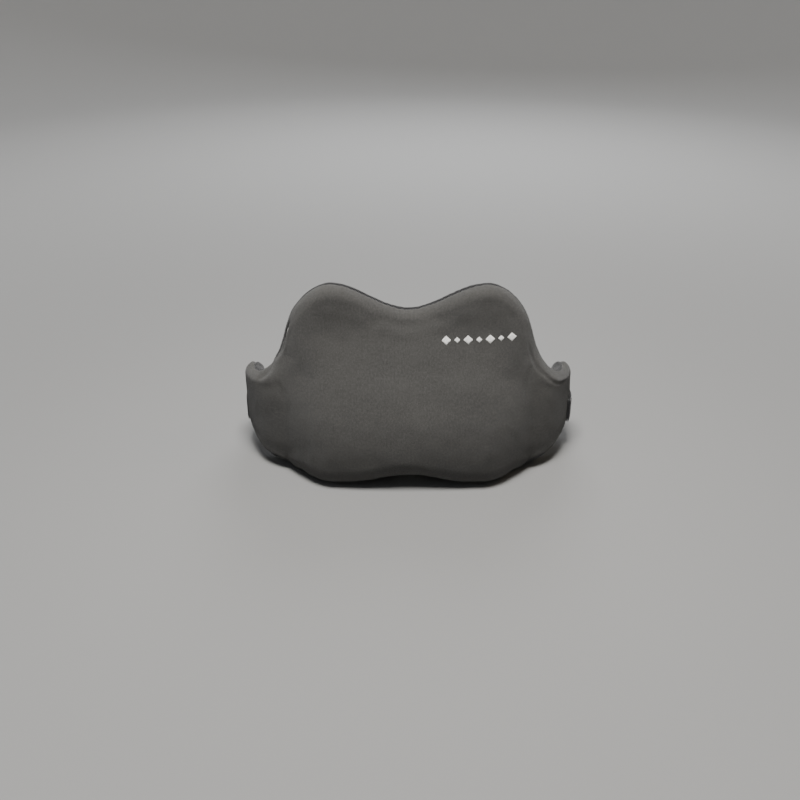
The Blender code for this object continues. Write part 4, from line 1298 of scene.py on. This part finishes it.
def finish_moulding(obj, body, node, width=0.00045):
    """Rounded edges and smooth shading for a moulded part, which then stands for its node."""
    edge = obj.modifiers.new("edges", "BEVEL")
    edge.width = width
    edge.segments = 3
    edge.limit_method = "ANGLE"
    edge.angle_limit = math.radians(32)
    obj.data.shade_smooth()
    obj.data.set_sharp_from_angle(angle=math.radians(32))
    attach(obj, body)
    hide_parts(node)


def place_outline(points, x, way):
    """Moves an outline drawn from 0 along +x to stand at x, running along way (1 or -1)."""
    return [(x + way * px, STRAP_Z + pz) for px, pz in points]


def bar_along_z(name, x, y, radius, half):
    ring = arc((x, y), radius, 0, 360, 20)[:-1]
    verts = [(p[0], p[1], STRAP_Z + z) for z in (-half, half) for p in ring]
    count = len(ring)
    faces = [tuple(range(count)), tuple(range(count, 2 * count))]
    faces += [(i, (i + 1) % count, count + (i + 1) % count, count + i) for i in range(count)]
    return solid(name, verts, faces, plastic)


def plate(name, outline, low, high):
    return solid(name, *slab(outline, low, high), plastic)


# The buckle's and the adjuster's own sizes: half the room for the strap, the shell's wall, the room beside
# a web bar, how deep the prongs lie, how far the bars stand back, and the far reach of a cutter.
WEB_ROOM = 0.0178
WALL = 0.0018
BAR_ROOM = 0.0052
ARM_DEPTH = 0.0024
BAR_RECESS = 0.0020
BAR_SINK = 0.001
FAR = 0.03


def make_female():
    """The socket: a slim shell with waisted sides, a window for each prong and a web bar behind."""
    low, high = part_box("buckle_female")
    half = (high.z - low.z) / 2
    length, thick = high.x - low.x, high.y - low.y
    corners = [(0, -half), (0.010, -half), (0.019, -half + 0.0022), (0.029, -half), (length, -half + 0.0016)]
    corners += [(x, -z) for x, z in corners[::-1]]
    outline = rounded(corners, [0.0018, 0.008, 0.009, 0.007, 0.0028] + [0.0028, 0.007, 0.009, 0.008, 0.0018])
    body = plate("buckle_socket", place_outline(outline, low.x, 1), low.y, high.y)
    bar_x = length - BAR_THICKNESS / 2
    slot_start, slot_end = bar_x - BAR_THICKNESS / 2 - BAR_ROOM, length + 0.004
    web = [(slot_start, -WEB_ROOM), (slot_end, -WEB_ROOM), (slot_end, WEB_ROOM), (slot_start, WEB_ROOM)]
    tip = slot_start + 0.0002
    mouth = [(-0.002, -half + WALL), (0.0262, -half + WALL), (0.0262, half - WALL), (-0.002, half - WALL)]
    cut_y = WALL, thick - WALL
    cuts = [
        plate("cut", place_outline(rounded(web, [0.001] * 4), low.x, 1), low.y - 0.01, high.y + 0.01),
        plate("cut", place_outline(mouth, low.x, 1), low.y + cut_y[0], low.y + cut_y[1]),
    ]
    for side in (1, -1):
        window = [(0.0075, side * 0.0165), (0.0175, side * 0.0165), (0.0175, side * 0.03), (0.0075, side * 0.03)]
        cuts.append(
            plate("cut", place_outline(rounded(window, [0.0012] * 4), low.x, 1), low.y + ARM_DEPTH, high.y - ARM_DEPTH)
        )
    combine(body, cuts, "DIFFERENCE")
    hook = [bar_along_z("bar", low.x + bar_x, (low.y + high.y) / 2, BAR_THICKNESS / 2, WEB_ROOM + BAR_SINK)]
    combine(body, hook, "UNION")
    trim = [
        plate(
            "cut",
            place_outline([(tip, -FAR), (length + 0.01, -FAR), (length + 0.01, FAR), (tip, FAR)], low.x, 1),
            y0,
            y1,
        )
        for y0, y1 in ((low.y - 0.01, low.y + BAR_RECESS), (high.y - BAR_RECESS, high.y + 0.01))
    ]
    combine(body, trim, "DIFFERENCE")
    finish_moulding(body, "cushion", "buckle_female")


def make_male():
    """The plug: a waisted base with a web bar, a guide tongue and two bowed prongs with hooked heads."""
    low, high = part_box("buckle_male")
    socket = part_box("buckle_female")
    half = (high.z - low.z) / 2
    base_length = socket[0].x - 0.0006 - low.x
    reach = high.x - low.x
    corners = [(0, -half + 0.0016), (0.009, -half), (base_length - 0.003, -half), (base_length, -half + 0.0010)]
    corners += [(x, -z) for x, z in corners[::-1]]
    outline = rounded(corners, [0.0026, 0.006, 0.0012, 0.0008] + [0.0008, 0.0012, 0.006, 0.0026])
    body = plate("buckle_plug", place_outline(outline, low.x, 1), low.y, high.y)
    bar_x = BAR_THICKNESS / 2
    slot_end = bar_x + BAR_THICKNESS / 2 + BAR_ROOM
    web = [(-0.004, -WEB_ROOM), (slot_end, -WEB_ROOM), (slot_end, WEB_ROOM), (-0.004, WEB_ROOM)]
    cuts = [plate("cut", place_outline(rounded(web, [0.001] * 4), low.x, 1), low.y - 0.01, high.y + 0.01)]
    for y0, y1 in ((low.y - 0.01, low.y + BAR_RECESS), (high.y - BAR_RECESS, high.y + 0.01)):
        over = [(-0.004, -FAR), (slot_end, -FAR), (slot_end, FAR), (-0.004, FAR)]
        cuts.append(plate("cut", place_outline(over, low.x, 1), y0, y1))
    combine(body, cuts, "DIFFERENCE")
    root = base_length - 0.002
    inner, outer = half - 0.0064, half - 0.0028
    prong = [
        (root, inner), (root + 0.010, inner - 0.0012), (reach - 0.007, inner - 0.0008), (reach, inner - 0.0018),
        (reach, inner + 0.0008), (reach - 0.004, outer + 0.0004), (reach - 0.0110, outer + 0.0004),
        (reach - 0.0114, outer - 0.0016), (root + 0.010, outer - 0.0012), (root, outer),
    ]
    radii = [0, 0.003, 0.002, 0.0008, 0.0008, 0.002, 0.0006, 0.0006, 0.003, 0]
    tongue = [(root, -0.0036), (reach - 0.007, -0.0030), (reach - 0.007, 0.0030), (root, 0.0036)]
    arm_y = low.y + ARM_DEPTH, high.y - ARM_DEPTH
    adds = [plate("add", place_outline(rounded(tongue, [0, 0.0018, 0.0018, 0]), low.x, 1), *arm_y)]
    for side in (1, -1):
        arm = [(x, side * z) for x, z in rounded(prong, radii)]
        adds.append(plate("add", place_outline(arm, low.x, 1), *arm_y))
    adds.append(bar_along_z("bar", low.x + bar_x, (low.y + high.y) / 2, BAR_THICKNESS / 2, WEB_ROOM + BAR_SINK))
    combine(body, adds, "UNION")
    finish_moulding(body, "buckle_plug", "buckle_male", 0.0004)


def make_glide():
    """The adjuster: a rounded frame over the strap and a round bar under it."""
    low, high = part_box("tri_glide")
    half, long = (high.z - low.z) / 2, (high.x - low.x) / 2
    x = (low.x + high.x) / 2
    top = high.y - 0.0018
    frame_line = rounded([(-long, -half), (long, -half), (long, half), (-long, half)], [0.004] * 4)
    body = plate("glide_frame", place_outline(frame_line, x, 1), top, high.y)
    gap = long - 0.0030
    hole = rounded([(-gap, -WEB_ROOM), (gap, -WEB_ROOM), (gap, WEB_ROOM), (-gap, WEB_ROOM)], [0.001] * 4)
    combine(body, [plate("cut", place_outline(hole, x, 1), top - 0.01, high.y + 0.01)], "DIFFERENCE")
    adds = []
    for side in (1, -1):
        z0, z1 = sorted((side * WEB_ROOM, side * (half - 0.0004)))
        post = rounded([(-0.006, z0), (0.006, z0), (0.006, z1), (-0.006, z1)], [0.0014] * 4)
        adds.append(plate("add", place_outline(post, x, 1), low.y, top + 0.0009))
    adds.append(bar_along_z("bar", x, low.y + GLIDE_BAR / 2, GLIDE_BAR / 2, WEB_ROOM + BAR_SINK))
    combine(body, adds, "UNION")
    finish_moulding(body, "adjuster", "tri_glide", 0.0004)


# ---------------------------------------------------------------- label, emblem and small metal parts


def make_label():
    """A folded loop of white tape, sewn into the seam under the arch."""
    low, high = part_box("care_label")
    middle = (low.y + high.y) / 2
    wide, tall = high.x - low.x, high.z - low.z
    across, down = 24, 10
    verts, cloth = [], []
    for side in (-1, 1):
        for i in range(across + 1):
            for j in range(down + 1):
                u, v = i / across, j / down
                curl = 0.0007 * (v**2) * math.sin(u * 3.6 + 0.6)
                puff = 0.00028 * math.sin(math.pi * v) ** 0.5 if 0 < v < 1 else 0.0
                verts.append((low.x + wide * u, middle + curl + side * (0.00012 + puff), high.z - tall * v))
                cloth.append((wide * u, tall * v))
    row, sheet = down + 1, (across + 1) * (down + 1)
    faces = []
    for i in range(across):
        for j in range(down):
            a = i * row + j
            loop = (a, a + 1, a + row + 1, a + row)
            faces.append(loop)
            faces.append(tuple(v + sheet for v in loop[::-1]))
    edge = [i * row for i in range(across + 1)]
    edge += [across * row + j for j in range(1, row)]
    edge += [i * row + down for i in range(across - 1, -1, -1)]
    edge += list(range(down - 1, 0, -1))
    faces += [(a, b, b + sheet, a + sheet) for a, b in zip(edge, edge[1:] + edge[:1])]
    obj = solid("label_loop", verts, faces, label_cloth)
    obj.data.shade_smooth()
    layer = obj.data.uv_layers.new(name="cloth")
    for loop in obj.data.loops:
        layer.data[loop.index].uv = cloth[loop.vertex_index]
    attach(obj, "cushion")
    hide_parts("care_label")
    bundle = Bundle()
    for side in (-1, 1):
        xs = np.linspace(low.x + 0.001, high.x - 0.001, 30)
        points = [(x, middle + side * 0.0004, high.z - 0.0011) for x in xs]
        stitch_row(bundle, points, [(0, side, 0)] * 30, 0.0016, 0.0007, radius=0.00015, rise=0.0003)
    bundle.piece("label_stitches", grey_thread, "cushion")


EMBLEM_MIDDLE = (0.0880, 0.1900)
EMBLEM_SIZE = (0.0960, 0.0105)
EMBLEM_COUNT = 7
EMBLEM_TILT = 0.045


def make_emblem(front):
    """A plain row of lozenges in white satin stitch, on the upper right of the front."""
    skin = surface_of(front)
    bundle = Bundle()
    pitch = EMBLEM_SIZE[0] / EMBLEM_COUNT
    half_wide, half_tall = pitch * 0.40, EMBLEM_SIZE[1] / 2
    thread = 0.00042

    def on_cloth(x, z):
        found = skin.ray_cast(Vector((PLACE.x + x, -0.5, z)), Vector((0, 1, 0)))
        return found[0], (found[1] if found[1].y < 0 else -found[1])

    for i in range(EMBLEM_COUNT):
        centre = (i - (EMBLEM_COUNT - 1) / 2) * pitch
        big = 1.0 if i % 2 == 0 else 0.62
        threads = round(2 * half_wide * big / thread)
        for k in range(threads):
            across = (k + 0.5) / threads * 2 - 1
            tall = half_tall * big * (1 - abs(across)) + 0.0005
            path = []
            for t in np.linspace(-1, 1, 7):
                a = centre + across * half_wide * big
                b = t * tall + 0.00012 * ((k % 2) * 2 - 1)
                x = EMBLEM_MIDDLE[0] + a * math.cos(EMBLEM_TILT) - b * math.sin(EMBLEM_TILT)
                z = EMBLEM_MIDDLE[1] + a * math.sin(EMBLEM_TILT) + b * math.cos(EMBLEM_TILT)
                spot, out = on_cloth(x, z)
                path.append(spot + out * (0.00062 * (1 - t**4) - 0.00012))
            bundle.add(*tube([tuple(p) for p in path], thread * 0.56, 6))
    return bundle.piece("emblem_stitches", white_thread, "cushion")


def finish_metal():
    for name in ("zipper_slider", "zipper_pull"):
        soften(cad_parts[name], 0.00028)
    for name in ("zipper_bottom_stop", "zipper_top_stop_upper", "zipper_top_stop_lower"):
        soften(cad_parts[name], 0.00022)
    for name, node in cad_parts.items():
        if name.startswith("zipper_") and "coil" not in name and "tape" not in name:
            paint(node, black_metal)


# ---------------------------------------------------------------- stage and camera

VIEW_HEIGHT_DEG = 29.0
VIEW_DISTANCE = 1.305
VIEW_HALF_ANGLE = math.radians(21.4)
VIEW_TARGET = (-0.0124, -0.0402, 0.109)

BOWL_FLAT = 2.2
BOWL_BEND = 1.2
BOWL_TOP = 3.0
BOWL_SIDES = 96


def make_stage():
    """A pale floor, soft light from above and a weak fill from either side."""
    look = Look("floor", 0.85, specular=0.2)
    away = look.node("VectorMath", {0: look.solid()}, out=1, operation="LENGTH")
    far = look.node("MapRange", {0: away, 1: 0.50, 2: 2.3}, interpolation_type="SMOOTHSTEP")
    floor_look = look.done(look.mix(far, (0.24, 0.24, 0.238), (0.55, 0.55, 0.547)))
    sweep = [(0.4, 0.0), (1.2, 0.0), (BOWL_FLAT, 0.0)]
    sweep += [(BOWL_FLAT + x, BOWL_BEND + z) for x, z in arc((0, 0), BOWL_BEND, -90, 0, 24)[1:]]
    sweep.append((BOWL_FLAT + BOWL_BEND, BOWL_TOP))
    verts = [(0.0, 0.0, 0.0)]
    for radius, height in sweep:
        for k in range(BOWL_SIDES):
            a = 2 * math.pi * k / BOWL_SIDES
            verts.append((radius * math.cos(a), radius * math.sin(a), height))
    faces = [(0, 1 + k, 1 + (k + 1) % BOWL_SIDES) for k in range(BOWL_SIDES)]
    for i in range(len(sweep) - 1):
        for k in range(BOWL_SIDES):
            a, b = 1 + i * BOWL_SIDES + k, 1 + i * BOWL_SIDES + (k + 1) % BOWL_SIDES
            faces.append((a, a + BOWL_SIDES, b + BOWL_SIDES, b))
    mesh_object("floor", verts, faces, floor_look)
    world = bpy.data.worlds.new("studio")
    bpy.context.scene.world = world
    world.use_nodes = True
    world.node_tree.nodes["Background"].inputs[0].default_value = (0.86, 0.90, 0.96, 1)
    world.node_tree.nodes["Background"].inputs[1].default_value = 0.09
    lamps = (
        ("ceiling", (-0.05, -0.46, 1.9), 0.6, 70, (1.0, 0.98, 0.95)),
        ("front_left", (-1.3, -1.2, 1.5), 0.8, 1.2, (0.82, 0.91, 1.0)),
        ("right", (1.5, -0.1, 1.5), 0.5, 2.0, (1.0, 0.74, 0.42)),
        ("back", (0.2, 1.5, 1.3), 1.0, 22, (0.95, 0.97, 1.0)),
    )
    for name, place, size, power, colour in lamps:
        light = bpy.data.lights.new(name, "AREA")
        light.size = size
        light.energy = power
        light.color = colour
        lamp = bpy.data.objects.new(name, light)
        lamp.location = place
        aim = Vector(VIEW_TARGET) - Vector(place)
        lamp.rotation_euler = aim.to_track_quat("-Z", "Y").to_euler()
        bpy.context.scene.collection.objects.link(lamp)


def make_camera():
    raised = math.radians(VIEW_HEIGHT_DEG)
    away = Vector((0, -math.cos(raised), math.sin(raised)))
    data = bpy.data.cameras.new("camera")
    data.sensor_width = 36.0
    data.lens = data.sensor_width / 2 / math.tan(VIEW_HALF_ANGLE)
    camera = bpy.data.objects.new("camera", data)
    camera.location = Vector(VIEW_TARGET) + away * VIEW_DISTANCE
    camera.rotation_euler = (-away).to_track_quat("-Z", "Y").to_euler()
    bpy.context.scene.collection.objects.link(camera)
    bpy.context.scene.camera = camera


# ---------------------------------------------------------------- making

knit = knit_look()
mesh_cloth = mesh_look()
tape_cloth = woven_look("zip_tape", (0.010, 0.010, 0.011), (0.028, 0.028, 0.030), 0.0006)
nylon = nylon_look()
black_metal = metal_look()
webbing = woven_look("strap_webbing", (0.009, 0.009, 0.010), (0.034, 0.034, 0.036), 0.0011)
elastic = woven_look("strap_elastic", (0.010, 0.010, 0.011), (0.036, 0.036, 0.039), 0.0008, slant=1.1)
plastic = plastic_look()
foam_finish = foam_look()
jersey = jersey_look()
label_cloth = woven_look("label_cloth", (0.62, 0.62, 0.60), (0.86, 0.86, 0.84), 0.0005)
white_thread = thread_look("white_thread", (0.72, 0.72, 0.70), (0.90, 0.90, 0.88))
black_thread = thread_look("black_thread", (0.014, 0.014, 0.015), (0.035, 0.035, 0.037))
grey_thread = thread_look("grey_thread", (0.05, 0.05, 0.052), (0.10, 0.10, 0.104))

make_camera()
make_stage()
form = Outline(SIDE_COUNT)
front_panel, back_panel = make_cover(form)
inner_form = Outline(SIDE_COUNT // 2)
make_foam(inner_form)
make_liner(inner_form)
seam_stitches(form, back_panel)
tape_piece("zipper_tape_upper", "tape_upper", 1)
tape_piece("zipper_tape_lower", "tape_lower", -1)
coil_piece("zipper_coil_upper", "coil_upper", 1)
coil_piece("zipper_coil_lower", "coil_lower", -1)
zip_stitches()
make_straps()
strap_tacks()
make_female()
make_male()
make_glide()
make_label()
make_emblem(front_panel)
finish_metal()
